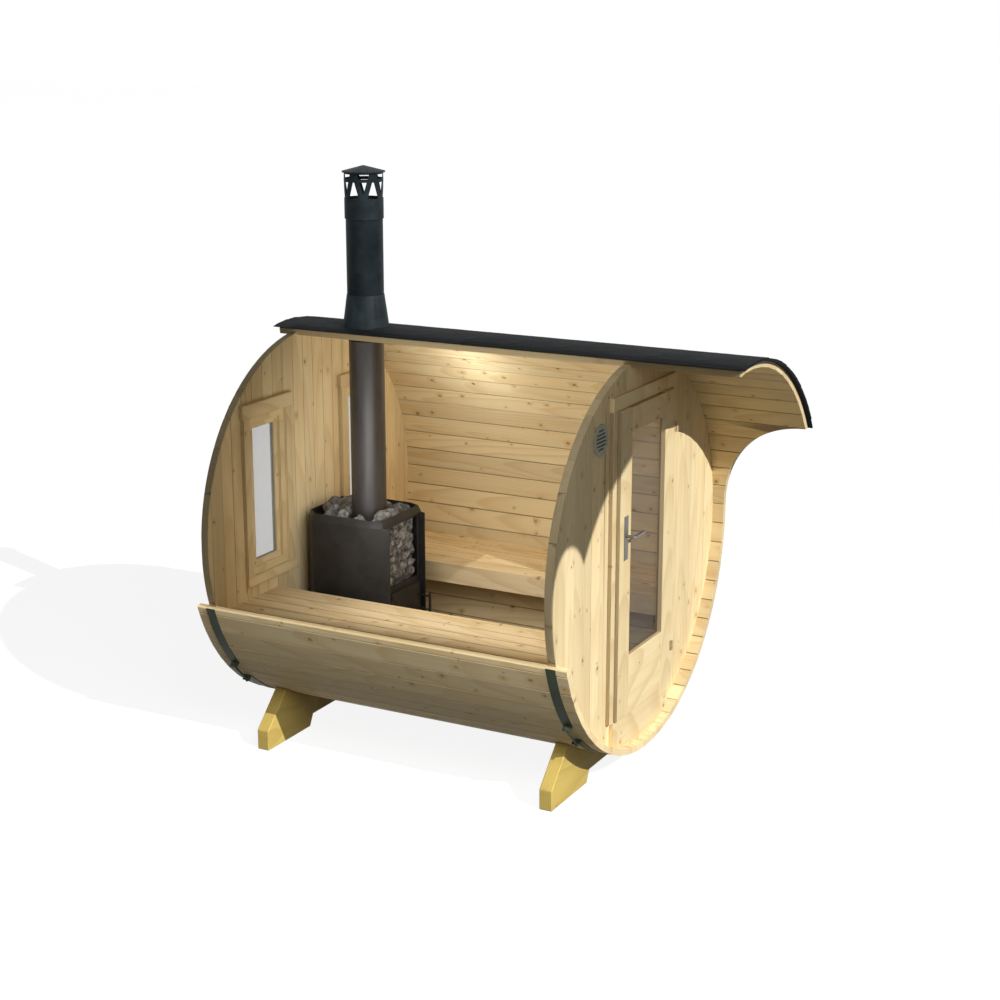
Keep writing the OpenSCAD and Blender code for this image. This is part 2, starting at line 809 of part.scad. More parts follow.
// A cone round the chimney whose foot follows the shingled roof.
module roof_flashing()
    color("#1c2326") difference() {
        low = sqrt(shingle_r * shingle_r - pow(chimney_r + flash_out, 2)) - 4;
        translate([0, flue_y, axis_h]) rotate_extrude()
            polygon([[chimney_r + flash_out, low], [chimney_r + flash_out + 3, low],
                     [chimney_r + seat + 1.5, shingle_r + flash_h], [chimney_r + seat, shingle_r + flash_h]]);
        along_y(flue_y - 2 * hole_r, flue_y + 2 * hole_r) circle(shingle_r + seat, $fn = 180);
    }

// A tube pierced by upright and hanging triangles, so that slanting strips are left.
module chimney_cap() {
    z0 = chimney_z + collar_h;
    step = 360 / cap_n;
    half = collar_r * PI / cap_n - 1.1 * cap_strip;
    low = z0 + cap_strip / 3;
    high = cap_top - cap_strip / 3;
    color("#1c2326") difference() {
        upright_tube(collar_r - pipe_t, collar_r, z0, cap_top);
        for (i = [0 : cap_n - 1], turn = [0, 1])
            translate([0, flue_y, axis_h]) rotate([0, 0, (i + turn / 2) * step])
                rotate([90, 0, 90]) linear_extrude(huge)
                    polygon(turn == 0
                        ? [[-half, low], [half, low], [0, high - cap_strip]]
                        : [[-half, high], [half, high], [0, low + cap_strip]]);
    }
}

module chimney_lid()
    color("#1c2326") translate([0, flue_y, axis_h + cap_top]) rotate_extrude()
        polygon([[0, 0], [collar_r + lid_lap, 0], [collar_r + lid_lap, lid_t], [0, lid_t + lid_h]]);

// Door

module spindle_hole(r)
    translate([handle_x, leaf_back + huge / 2, axis_h + lever_z]) rotate([90, 0, 0])
        cylinder(r = r, h = huge);

module door_leaf()
    color("#e3c58e") difference() {
        block([-leaf_half, leaf_y, leaf_low], [leaf_half, leaf_back, leaf_top]);
        block([-pane_half, leaf_y - over, pane_low], [pane_half, leaf_back + over, pane_top]);
        block([-pane_half - pane_lap, leaf_back - pane_rebate, pane_low - pane_lap],
              [pane_half + pane_lap, leaf_back + over, pane_top + pane_lap]);
        spindle_hole(spindle_r + 2);
    }

module door_glass()
    color("#b9c0bf")
        block([-pane_half - pane_lap + seat, leaf_back - pane_rebate + seat, pane_low - pane_lap + seat],
              [pane_half + pane_lap - seat, leaf_back - pane_rebate + seat + glass_t,
               pane_top + pane_lap - seat]);

module handle_plates()
    color("#b9bbba") difference() {
        for (y = [leaf_y - plate_t, leaf_back])
            block([handle_x - plate_w / 2, y, plate_z - plate_h / 2],
                  [handle_x + plate_w / 2, y + plate_t, plate_z + plate_h / 2]);
        spindle_hole(lever_r + pin_fit);
    }

// A lever on each side of the leaf, joined by the spindle.
module door_lever()
    color("#c3c5c4") translate([handle_x, 0, axis_h + lever_z]) {
        translate([0, leaf_back + plate_t, 0]) rotate([90, 0, 0])
            cylinder(r = spindle_r, h = leaf_t + 2 * plate_t);
        for (y = [leaf_y - plate_t - lever_out, leaf_back]) {
            translate([0, y + lever_out + plate_t, 0]) rotate([90, 0, 0])
                cylinder(r = lever_r, h = lever_out + plate_t);
        }
        for (y = [leaf_y - plate_t - lever_out, leaf_back + plate_t + lever_out])
            translate([0, y, 0]) {
                sphere(r = lever_r);
                rotate([0, 90, 0]) cylinder(r = lever_r, h = lever_l - lever_r);
                translate([lever_l - lever_r, 0, 0]) sphere(r = lever_r);
            }
    }

module door_hinges()
    color("#a9aba9") for (z = hinge_zs)
        difference() {
            union() {
                block([hinge_x - hinge_plate_w, leaf_y - hinge_plate_t, z - hinge_h / 2],
                      [hinge_x - knuckle_r - 1, leaf_y, z + hinge_h / 2]);
                block([hinge_x - hinge_plate_w / 2, leaf_y - hinge_plate_t, z - hinge_h / 6],
                      [hinge_x, leaf_y, z + hinge_h / 6]);
                translate([hinge_x, hinge_y, axis_h + z - hinge_h / 6])
                    cylinder(r = knuckle_r, h = hinge_h / 3);
            }
            translate([hinge_x, hinge_y, axis_h + z - hinge_h])
                cylinder(r = hinge_pin_r + pin_fit, h = 2 * hinge_h);
        }

module casing_hinges() {
    casing_y = front_wall_y - casing_t;
    web_x = leaf_half + door_gap;
    third = hinge_h / 3 - 1;
    color("#a9aba9") for (z = hinge_zs) {
        for (low = [z - hinge_h / 2, z + hinge_h / 2 - third]) {
            translate([hinge_x, hinge_y, axis_h + low]) cylinder(r = knuckle_r, h = third);
            block([web_x, hinge_y, low], [hinge_x + knuckle_r, casing_y, low + third]);
        }
        block([web_x, casing_y - hinge_plate_t, z - hinge_h / 2],
              [web_x + 0.7 * hinge_plate_w, casing_y, z + hinge_h / 2]);
        translate([hinge_x, hinge_y, axis_h + z - hinge_h / 2]) cylinder(r = hinge_pin_r, h = hinge_h);
    }
}

front_cradle();
back_cradle();
near_staves();
bottom_staves();
far_lower_staves();
far_upper_staves();
roof_staves();
roof_shingles();
front_hoop();
back_hoop();
front_wall_left();
front_wall_right();
front_wall_over_door();
front_wall_under_door();
door_casing();
door_sill();
casing_hinges();
vent_grille();
back_wall_near();
back_wall_middle();
back_wall_far();
back_wall_over_windows();
back_wall_under_windows();
near_window_frame();
far_window_frame();
near_window_glass();
far_window_glass();
near_bench_boards();
near_bench_frame();
far_bench_boards();
far_bench_frame();
floor_boards();
floor_bearers();
stove_body();
stove_collar();
stove_stones();
flue_pipe();
chimney_pipe();
roof_flashing();
chimney_cap();
chimney_lid();
door_leaf();
door_glass();
handle_plates();
door_hinges();
door_lever();
firebox_door();
firebox_handle();
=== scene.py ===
import json
import math
import random

import bmesh
import bpy
from mathutils import Matrix, Vector

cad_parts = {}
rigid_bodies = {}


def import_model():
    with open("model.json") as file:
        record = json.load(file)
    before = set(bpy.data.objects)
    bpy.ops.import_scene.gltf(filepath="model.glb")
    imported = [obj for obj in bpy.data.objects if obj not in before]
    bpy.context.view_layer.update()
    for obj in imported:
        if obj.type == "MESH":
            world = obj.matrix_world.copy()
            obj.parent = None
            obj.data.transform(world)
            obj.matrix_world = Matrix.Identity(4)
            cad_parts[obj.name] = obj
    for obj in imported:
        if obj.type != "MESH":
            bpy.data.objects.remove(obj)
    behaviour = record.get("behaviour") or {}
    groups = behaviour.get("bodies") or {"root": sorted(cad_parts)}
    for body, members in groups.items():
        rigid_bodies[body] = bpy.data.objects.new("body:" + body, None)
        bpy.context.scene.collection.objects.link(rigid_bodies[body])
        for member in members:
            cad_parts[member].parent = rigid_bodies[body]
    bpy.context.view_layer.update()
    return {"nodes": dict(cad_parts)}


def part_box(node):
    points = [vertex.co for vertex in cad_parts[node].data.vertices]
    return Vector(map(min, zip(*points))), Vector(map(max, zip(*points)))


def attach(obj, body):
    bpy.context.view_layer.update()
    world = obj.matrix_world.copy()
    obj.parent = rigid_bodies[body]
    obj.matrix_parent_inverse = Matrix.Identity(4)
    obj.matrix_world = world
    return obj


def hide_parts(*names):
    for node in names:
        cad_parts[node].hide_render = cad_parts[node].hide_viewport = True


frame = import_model()
nodes = frame["nodes"]
scene = bpy.context.scene
xAxis, yAxis, zAxis = Vector((1, 0, 0)), Vector((0, 1, 0)), Vector((0, 0, 1))

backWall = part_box("back_wall_middle")
axisZ = (backWall[0].z + backWall[1].z) / 2  # height of the barrel axis
print("frame loaded:", len(nodes), "nodes, barrel axis at", round(axisZ, 3))


# Node trees, for finishes and for geometry alike

# a method that adds a maths node; turned when the wire stands on the right of the sign
def maths(operation, turned=False):
    def method(wire, other):
        return wire.tree.math(operation, *((other, wire) if turned else (wire, other)))
    return method


class Wire:
    # an output socket that takes part in Python maths
    def __init__(self, tree, socket):
        self.tree = tree
        self.socket = socket

    def of(self, output):
        return Wire(self.tree, self.socket.node.outputs[output])

    __add__, __radd__ = maths("ADD"), maths("ADD", True)
    __sub__, __rsub__ = maths("SUBTRACT"), maths("SUBTRACT", True)
    __mul__, __rmul__ = maths("MULTIPLY"), maths("MULTIPLY", True)
    __truediv__, __pow__, __mod__ = maths("DIVIDE"), maths("POWER"), maths("FLOORED_MODULO")


class Nodes:
    def __init__(self, tree):
        self.tree = tree

    # a node of any type: its settings first, then the values or links of its sockets
    def node(self, kind, settings=None, values=None, output=0):
        made = self.tree.nodes.new(kind)
        for key, value in (settings or {}).items():
            if key == "stops":
                while len(made.color_ramp.elements) < len(value):
                    made.color_ramp.elements.new(0.5)
                for element, (place, shade) in zip(made.color_ramp.elements, value):
                    element.position = place
                    element.color = (shade, shade, shade, 1)
            else:
                setattr(made, key, value)
        for key, value in (values or {}).items():
            socket = made.inputs[key]
            if isinstance(value, Wire):
                self.tree.links.new(value.socket, socket)
            elif socket.type == "RGBA" and len(value) == 3:
                socket.default_value = (*value, 1)
            else:
                socket.default_value = value
        return Wire(self, made.outputs[output]) if made.outputs else made

    def math(self, operation, *values):
        return self.node("ShaderNodeMath", {"operation": operation}, dict(enumerate(values)))

    def split(self, vector):
        return self.node("ShaderNodeSeparateXYZ", None, {0: vector})

    def point(self, x=0.0, y=0.0, z=0.0):
        return self.node("ShaderNodeCombineXYZ", None, {0: x, 1: y, 2: z})

    def attribute(self, name, output):
        return self.node("ShaderNodeAttribute", {"attribute_name": name}, output=output)

    def objectCo(self):
        return self.node("ShaderNodeTexCoord", output="Object")

    def stretch(self, co, scale):
        return self.node("ShaderNodeVectorMath", {"operation": "MULTIPLY"}, {0: co, 1: scale})

    def noise(self, co, scale, detail=2.0, roughness=0.5):
        return self.node("ShaderNodeTexNoise", None,
                         {"Vector": co, "Scale": scale, "Detail": detail, "Roughness": roughness})

    def mix(self, factor, first, second):
        return self.node("ShaderNodeMix", {"data_type": "RGBA"}, {0: factor, 6: first, 7: second}, 2)

    def shade(self, color, factor):
        return self.node("ShaderNodeVectorMath", {"operation": "SCALE"}, {0: color, "Scale": factor})

    # 0 at low, 1 at high, smooth in between
    def step(self, value, low, high):
        return self.node("ShaderNodeMapRange", {"interpolation_type": "SMOOTHSTEP"},
                         {"Value": value, "From Min": low, "From Max": high})

    def bump(self, height, strength, distance):
        return self.node("ShaderNodeBump", None,
                         {"Height": height, "Strength": strength, "Distance": distance})

    def place(self, geometry, position):
        return self.node("GeometryNodeSetPosition", None, {"Geometry": geometry, "Position": position})

    def store(self, geometry, name, value, domain="POINT"):
        return self.node("GeometryNodeStoreNamedAttribute", {"data_type": "FLOAT", "domain": domain},
                         {"Geometry": geometry, "Name": name, 3: value})

    def stored(self, name, kind="FLOAT"):
        return self.node("GeometryNodeInputNamedAttribute", {"data_type": kind}, {"Name": name})

    # a chance number from low to high
    def chance(self, low, high, seed, key=None):
        values = {2: low, 3: high, 8: seed}
        if key:
            values[7] = key
        return self.node("FunctionNodeRandomValue", {"data_type": "FLOAT"}, values, 1)

    def chanceVector(self, low, high, seed):
        values = {0: low, 1: high, 8: seed}
        return self.node("FunctionNodeRandomValue", {"data_type": "FLOAT_VECTOR"}, values)

    def together(self, parts):
        joined = self.node("GeometryNodeJoinGeometry")
        for part in parts:
            self.tree.links.new(part.socket, joined.socket.node.inputs[0])
        return joined


# a geometry tree with an input for each size: its nodes, and a wire from each input
def newGrowth(name, sizes):
    group = bpy.data.node_groups.new(name, "GeometryNodeTree")
    group.interface.new_socket("Geometry", in_out="INPUT", socket_type="NodeSocketGeometry")
    for label, size in sizes.items():
        kind = "NodeSocketInt" if isinstance(size, int) else "NodeSocketFloat"
        group.interface.new_socket(label, in_out="INPUT", socket_type=kind)
    group.interface.new_socket("Geometry", in_out="OUTPUT", socket_type="NodeSocketGeometry")
    tree = Nodes(group)
    given = tree.node("NodeGroupInput")
    return group, tree, {label: given.of(label) for label in ["Geometry", *sizes]}


def endGrowth(tree, wire, finish):
    real = tree.node("GeometryNodeRealizeInstances", None, {"Geometry": wire})
    dressed = tree.node("GeometryNodeSetMaterial", None, {"Geometry": real, "Material": finish})
    tree.node("NodeGroupOutput", None, {"Geometry": dressed})


# runs a geometry tree on a host mesh and gives the plain mesh that it makes
def growMesh(name, host, group, sizes):
    holder = bpy.data.objects.new(name + "Host", host)
    scene.collection.objects.link(holder)
    modifier = holder.modifiers.new("growth", "NODES")
    modifier.node_group = group
    for item in group.interface.items_tree:
        if item.item_type == "SOCKET" and item.in_out == "INPUT" and item.name in sizes:
            modifier[item.identifier] = sizes[item.name]
    grown = holder.evaluated_get(bpy.context.evaluated_depsgraph_get())
    mesh = bpy.data.meshes.new_from_object(grown)
    holder.modifiers.remove(modifier)
    bpy.data.objects.remove(holder)
    return mesh


def newFinish(name, constants):
    finish = bpy.data.materials.new(name)
    finish.use_nodes = True
    for key, value in constants.items():
        finish.node_tree.nodes["Principled BSDF"].inputs[key].default_value = value
    return finish, Nodes(finish.node_tree)


def feed(finish, wires):
    for key, wire in wires.items():
        finish.node_tree.links.new(wire.socket, finish.node_tree.nodes["Principled BSDF"].inputs[key])
    return finish


# Finishes

# Boards carry grainCo, in metres along, across and through the board, boardTone, from 0 to 1, and a joint
# mark, which is 1 at the bottom of a joint with the next board, where the finish paints the joint's dirt
# and painted shade.
def pineFinish(name, look):
    finish, tree = newFinish(name, {"IOR": 1.45, "Specular IOR Level": 0.35})
    co = tree.attribute("grainCo", "Vector")
    tone = tree.attribute("boardTone", "Fac")
    seam = tree.step(tree.attribute("seam", "Fac"), 0.1, 0.85)
    parts = tree.split(co)
    along, across, depth = parts.of(0), parts.of(1), parts.of(2)

    # branches pass right through a board, so knots lie in a flat pattern along and across it
    knotCo = tree.point(along * 0.8, across)
    cells = tree.node("ShaderNodeTexVoronoi", {"voronoi_dimensions": "2D"},
                      {"Vector": knotCo, "Scale": look["knotGrid"]})
    pick = tree.node("ShaderNodeSeparateColor", None, {0: cells.of("Color")})
    present = tree.step(pick.of(0), 1 - look["knotShare"], 1.02 - look["knotShare"])
    knotSize = 0.0035 + look["knotSpread"] * pick.of(1) ** 2
    ragged = tree.noise(tree.stretch(co, (45.0, 60.0, 60.0)), 1.0)
    reach = cells.of("Distance") / look["knotGrid"] / knotSize * (0.45 + ragged * 1.1)
    knot = present * (1 - tree.step(reach, 0.6, 1.15)) * (0.35 + 0.65 * pick.of(2))
    halo = present * (1 - tree.step(reach, 0.8, 4.0))

    wander = tree.noise(tree.stretch(co, (1.1, 4.0, 4.0)), 1.0) - 0.5
    bent = across + wander * 0.05
    sunk = depth + along * look["taper"] + wander * 0.03
    radius = (bent * bent + sunk * sunk) ** 0.5 + halo * 0.006
    ring = tree.math("FRACT", radius / look["ringWidth"])
    late = tree.node("ShaderNodeValToRGB", {"stops": look["ringStops"]}, {0: ring})
    late = tree.node("ShaderNodeSeparateColor", None, {0: late}).of(0)
    streak = tree.noise(tree.stretch(co, (0.8, 26.0, 26.0)), 1.0, 3.0, 0.6)
    fibre = tree.noise(tree.stretch(co, (7.0, 330.0, 330.0)), 1.0, 3.0, 0.6)
    cloud = tree.noise(tree.stretch(co, (1.7, 5.0, 5.0)), 1.0, 2.0)

    color = tree.mix(late * look["ringDepth"], look["pale"], look["amber"])
    color = tree.mix(tree.step(streak, 0.42, 0.72) * look["streakDepth"], color, look["honey"])
    color = tree.mix(tree.step(cloud, 0.5, 0.85) * 0.35, color, look["honey"])
    color = tree.mix(tree.step(fibre, 0.5, 0.9) * 0.28, color, look["amber"])
    color = tree.shade(color, (1 - look["toneSpread"]) + tone * (2 * look["toneSpread"]))
    color = tree.mix(halo * 0.42, color, look["amber"])
    color = tree.mix(knot * 0.9, color, look["knot"])
    # the bottom of each joint takes the joint colour: its dirt, and painted shade in the groove
    color = tree.mix(seam * look["jointDirtAndShadeDepth"], color, look["seam"])
    height = late * 0.5 + fibre * 0.6 - knot * 0.5
    return feed(finish, {
        "Base Color": color,
        "Roughness": look["roughness"] - late * 0.1 + fibre * 0.08,
        "Normal": tree.bump(height, 0.3, 0.0008),
    })


ringStops = [(0.0, 0.0), (0.5, 0.12), (0.86, 1.0), (0.93, 0.9), (1.0, 0.0)]
pineLook = {
    "pale": (0.81, 0.66, 0.39),
    "amber": (0.59, 0.39, 0.165),
    "honey": (0.72, 0.51, 0.23),
    "knot": (0.21, 0.110, 0.044),
    # the joint colour, for its dirt and for painted shade in the joint, and how strongly it is laid on
    "seam": (0.13, 0.082, 0.038),
    "jointDirtAndShadeDepth": 0.72,
    "knotGrid": 9.0,  # cells a metre
    "knotShare": 0.46,  # share of the cells with a knot
    "knotSpread": 0.008,
    "ringWidth": 0.011,
    "taper": 0.025,  # how fast the log thins, which arches the grain
    "ringStops": ringStops,
    "ringDepth": 0.42,
    "streakDepth": 0.45,
    "toneSpread": 0.11,
    "roughness": 0.66,
}
stavePine = pineFinish("stavePine", pineLook)
wallPine = pineFinish("wallPine", {
    **pineLook, "pale": (0.86, 0.70, 0.41), "knotShare": 0.3, "knotSpread": 0.007, "knotGrid": 9.5,
    "ringWidth": 0.013, "ringDepth": 0.3, "jointDirtAndShadeDepth": 0.6,
})
# on the door's leaf and casing its joint colour is painted shade in the reveals and gaps
joineryPine = pineFinish("joineryPine", {
    **pineLook, "pale": (0.85, 0.69, 0.40), "knotShare": 0.24, "ringWidth": 0.017, "taper": 0.055,
    "seam": (0.24, 0.17, 0.095), "jointDirtAndShadeDepth": 0.62,
})
benchPine = pineFinish("benchPine", {**pineLook, "pale": (0.86, 0.67, 0.40), "knotShare": 0.3})
# the room's floor: a greyer pine, darkened further as painted shade from the benches above it
floorPine = pineFinish("floorPine", {
    **pineLook, "pale": (0.28, 0.245, 0.20), "amber": (0.20, 0.155, 0.10), "honey": (0.25, 0.21, 0.155),
    "toneSpread": 0.09,
})
cradlePine = pineFinish("cradlePine", {
    **pineLook, "pale": (0.56, 0.415, 0.113), "honey": (0.46, 0.32, 0.072), "amber": (0.35, 0.225, 0.045),
    "ringWidth": 0.013, "knotShare": 0.3,
})


# Painted sheet metal: slow mottling in colour and sheen, and a fine orange peel.
def paintFinish(name, look):
    finish, tree = newFinish(name, {"IOR": 1.5, "Specular IOR Level": look["gloss"]})
    co = tree.objectCo()
    mottle = tree.noise(tree.stretch(co, look["stretch"]), look["scale"], 4.0, 0.6)
    peel = tree.noise(co, 420.0, 2.0)
    color = tree.mix(tree.step(mottle, 0.32, 0.7), look["dark"], look["light"])
    return feed(finish, {
        "Base Color": color,
        "Roughness": look["roughness"] + (mottle - 0.5) * look["roughSpread"],
        "Normal": tree.bump(peel * 0.5 + mottle, 0.12, 0.0006),
    })


paintLook = {
    "dark": (0.024, 0.022, 0.020), "light": (0.035, 0.032, 0.029), "gloss": 0.3,
    "roughness": 0.46, "roughSpread": 0.16, "scale": 9.0, "stretch": (1, 1, 1),
}
stovePaint = paintFinish("stovePaint", paintLook)
fluePaint = paintFinish("fluePaint", {
    **paintLook, "dark": (0.046, 0.040, 0.036), "light": (0.066, 0.058, 0.052), "roughness": 0.38,
    "roughSpread": 0.06, "stretch": (3, 3, 0.5), "gloss": 0.5,
})
chimneyPaint = paintFinish("chimneyPaint", {
    **paintLook, "dark": (0.008, 0.0122, 0.014), "light": (0.017, 0.0235, 0.027), "roughness": 0.5,
    "gloss": 0.06,
})
hoopPaint = paintFinish("hoopPaint", {
    **paintLook, "dark": (0.028, 0.038, 0.025), "light": (0.048, 0.060, 0.039), "roughness": 0.5,
    "gloss": 0.15,
})
ventPaint = paintFinish("ventPaint", {
    **paintLook, "dark": (0.29, 0.30, 0.215), "light": (0.34, 0.35, 0.255), "roughness": 0.5,
})
# the vent's screen, a darker grey that stands in for the shade inside the slots
screenPaint = paintFinish("screenPaint", {
    **paintLook, "dark": (0.17, 0.175, 0.13), "light": (0.21, 0.215, 0.165), "roughness": 0.7,
})


def steelFinish(name, look):
    finish, tree = newFinish(name, {"Metallic": 1.0})
    brush = tree.noise(tree.stretch(tree.objectCo(), look["brush"]), 1.0, 2.0)
    return feed(finish, {
        "Base Color": tree.mix(brush, look["dark"], look["light"]),
        "Roughness": look["roughness"] + brush * 0.18,
        "Normal": tree.bump(brush, 0.08, 0.0003),
    })


brushedSteel = steelFinish("brushedSteel", {
    "dark": (0.16, 0.16, 0.152), "light": (0.24, 0.24, 0.228), "roughness": 0.36, "brush": (900, 900, 40),
})
hingeBrass = paintFinish("hingeBrass", {
    **paintLook, "dark": (0.47, 0.365, 0.20), "light": (0.58, 0.455, 0.26), "roughness": 0.4, "scale": 60.0,
    "gloss": 0.4,
})


def glassFinish(name, look):
    finish, tree = newFinish(name, {"IOR": 1.5, "Specular IOR Level": look["gloss"]})
    haze = tree.noise(tree.objectCo(), 1.3, 1.0)
    return feed(finish, {
        "Base Color": tree.mix(haze, look["color"], [0.96 * c for c in look["color"]]),
        "Roughness": 0.02 + haze * 0.03,
        "Alpha": look["cover"] + haze * 0.02,
    })


windowGlass = glassFinish("windowGlass", {"color": (0.55, 0.59, 0.62), "cover": 0.36, "gloss": 0.35})
doorGlass = glassFinish("doorGlass", {"color": (0.05, 0.05, 0.05), "cover": 0.36, "gloss": 0.10})


def shingleFinish(name, look):
    finish, tree = newFinish(name, {"IOR": 1.45, "Specular IOR Level": 0.15})
    co = tree.objectCo()
    tone = tree.attribute("tabTone", "Fac")
    grit = tree.node("ShaderNodeTexVoronoi", None, {"Vector": co, "Scale": 420.0})
    patch = tree.noise(co, 5.0, 3.0)
    shadeOf = 0.55 + tone * 0.7 + (patch - 0.5) * 0.3
    color = tree.mix(tree.step(grit.of("Distance"), 0.1, 0.6), look["light"], look["dark"])
    return feed(finish, {
        "Base Color": tree.shade(color, shadeOf),
        "Roughness": 0.82 + (patch - 0.5) * 0.1,
        "Normal": tree.bump(1 - grit.of("Distance"), 0.35, 0.0012),
    })


shingleFelt = shingleFinish("shingleFelt", {
    "dark": (0.0035, 0.0046, 0.0052), "light": (0.0105, 0.0130, 0.0142),
})


def stoneFinish(name, look):
    finish, tree = newFinish(name, {"IOR": 1.45, "Specular IOR Level": 0.3})
    co = tree.objectCo()
    tone = tree.attribute("stoneTone", "Fac")
    vein = tree.noise(co, 38.0, 5.0, 0.65)
    fleck = tree.noise(co, 300.0, 2.0)
    color = tree.mix(tree.step(vein, 0.35, 0.68), look["dark"], look["light"])
    color = tree.mix(tree.step(fleck, 0.6, 0.75) * 0.4, color, look["fleck"])
    return feed(finish, {
        "Base Color": tree.shade(color, 0.5 + tone * 0.7),
        "Roughness": 0.78 + vein * 0.12,
        "Normal": tree.bump(vein + fleck * 0.3, 0.6, 0.004),
    })


heapStone = stoneFinish("heapStone", {
    "dark": (0.125, 0.117, 0.108), "light": (0.44, 0.42, 0.385), "fleck": (0.60, 0.575, 0.53),
})
print("finishes made:", len(bpy.data.materials))


# Boards: copies of the solids, cut at their real joints, with grain of their own

def solidCopy(node):
    solid = bmesh.new()
    solid.from_mesh(nodes[node].data)
    bmesh.ops.remove_doubles(solid, verts=solid.verts, dist=1e-5)
    bmesh.ops.dissolve_limit(solid, angle_limit=math.radians(0.4), verts=solid.verts, edges=solid.edges)
    return solid


# the part of a solid between two places along x (0), y (1) or z (2), closed again where it was cut
def slab(solid, axis, low=None, high=None):
    part = solid.copy()
    for place, way in ((low, -1), (high, 1)):
        if place is None:
            continue
        normal, point = Vector(), Vector()
        normal[axis] = way
        point[axis] = place
        cut = bmesh.ops.bisect_plane(part, geom=part.verts[:] + part.edges[:] + part.faces[:], dist=1e-6,
                                     plane_co=point, plane_no=normal, clear_outer=True)
        rim = [g for g in cut["geom_cut"] if isinstance(g, bmesh.types.BMEdge) and g.is_boundary]
        bmesh.ops.holes_fill(part, edges=rim)
    return part


def islands(solid):
    found = []
    seen = set()
    for first in solid.faces:
        if first in seen:
            continue
        group = {first}
        edge = [first]
        while edge:
            face = edge.pop()
            for side in face.edges:
                for other in side.link_faces:
                    if other not in group:
                        group.add(other)
                        edge.append(other)
        seen |= group
        part = solid.copy()
        part.faces.ensure_lookup_table()
        keep = {f.index for f in group}
        bmesh.ops.delete(part, geom=[f for f in part.faces if f.index not in keep], context="FACES")
        found.append(part)
    return found


def middleOf(solid):
    low = Vector(min(v.co[i] for v in solid.verts) for i in range(3))
    high = Vector(max(v.co[i] for v in solid.verts) for i in range(3))
    return (low + high) / 2


def chamferEdges(solid, width, along=None):
    edges = []
    for edge in solid.edges:
        if not edge.is_manifold or edge.calc_face_angle() < math.radians(30):
            continue
        way = (edge.verts[1].co - edge.verts[0].co).normalized()
        if along is None or abs(way.dot(along)) > 0.999:
            edges.append(edge)
    bmesh.ops.bevel(solid, geom=edges, offset=width, offset_type="OFFSET", segments=1, profile=0.5,
                    affect="EDGES", clamp_overlap=True)


class BoardPile:
    # boards that end up in one mesh, each with its own stretch of wood
    def __init__(self):
        self.points, self.faces, self.grain, self.tone, self.seam = [], [], [], [], []

    # joined tells whether a place just past the board's side lies in a neighbour; the joint's dark, its
    # dirt and painted shade, spreads over the chamfers of the outer and the inner side as spread says
    def add(self, board, along, outward, chamfer, seed, joined=None, spread=(True, True)):
        if not board.faces:
            return
        chamferEdges(board, chamfer, along)
        board.normal_update()
        luck = random.Random(seed)
        middle = middleOf(board)
        across = along.cross(outward)
        shift = Vector((luck.uniform(0, 40), luck.uniform(-0.07, 0.07), luck.uniform(0.015, 0.08)))
        if luck.random() < 0.5:
            shift.z = -shift.z
        tone = luck.random()
        first = len(self.points)
        board.verts.index_update()
        for vertex in board.verts:
            away = vertex.co - middle
            self.points.append(vertex.co.copy())
            self.grain.append(shift + Vector((away.dot(along), away.dot(across), away.dot(outward))))
            self.tone.append(tone)
        sides = set()
        sunk = set()
        for face in board.faces:
            if joined and abs(face.normal.dot(along)) < 0.5 and abs(face.normal.dot(across)) > 0.8:
                if joined(face.calc_center_median() + 0.012 * face.normal):
                    sides.add(face)
                    sunk.update(v.index for v in face.verts)
        for face in board.faces:
            self.faces.append([first + v.index for v in face.verts])
            isEnd = abs(face.normal.dot(along)) > 0.5
            reached = face in sides or not isEnd and spread[0 if face.normal.dot(outward) > 0 else 1]
            self.seam += [1.0 if reached and v.index in sunk else 0.0 for v in face.verts]

    def build(self, name, finish, body, replaced):
        mesh = bpy.data.meshes.new(name)
        mesh.from_pydata(self.points, [], self.faces)
        grain = mesh.attributes.new("grainCo", "FLOAT_VECTOR", "POINT")
        grain.data.foreach_set("vector", [c for g in self.grain for c in g])
        tone = mesh.attributes.new("boardTone", "FLOAT", "POINT")
        tone.data.foreach_set("value", self.tone)
        seam = mesh.attributes.new("seam", "FLOAT", "CORNER")
        seam.data.foreach_set("value", self.seam)
        return placePiece(name, mesh, finish, body, replaced)


def placePiece(name, mesh, finish, body, replaced=()):
    mesh.materials.clear()
    mesh.materials.append(finish)
    piece = bpy.data.objects.new(name, mesh)
    scene.collection.objects.link(piece)
    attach(piece, body)
    if replaced:
        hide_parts(*replaced)
    return piece


# a solid as a piece; sharp is the angle, in degrees, past which an edge isn't smoothed over
def placeSolid(name, solid, finish, body, replaced=(), sharp=None):
    mesh = bpy.data.meshes.new(name)
    solid.to_mesh(mesh)
    if sharp:
        mesh.polygons.foreach_set("use_smooth", [True] * len(mesh.polygons))
        mesh.set_sharp_from_angle(angle=math.radians(sharp))
    return placePiece(name, mesh, finish, body, replaced)


# Barrel staves

staves = {
    "nodes": ["near_staves", "bottom_staves", "far_lower_staves", "far_upper_staves", "roof_staves"],
    "chamfer": 0.004,
    "seed": 100,
    "edges": (198.0, 458.6),  # the open side's edges, in degrees round the axis
}


def inShell(place):
    turn = math.degrees(math.atan2(place.z - axisZ, place.x)) % 360
    low, high = staves["edges"]
    return low < turn < high or low < turn + 360 < high


for number, node in enumerate(staves["nodes"]):
    pile = BoardPile()
    for count, board in enumerate(islands(solidCopy(node))):
        outward = middleOf(board) - Vector((0, 0, axisZ))
        outward.y = 0
        seed = staves["seed"] + 20 * number + count
        pile.add(board, yAxis, outward.normalized(), staves["chamfer"], seed, inShell, (False, True))
    pile.build(node + "_planks", stavePine, "sauna", [node])
print("staves laid")


# Wall boards, upright, in one row of joints across each wall

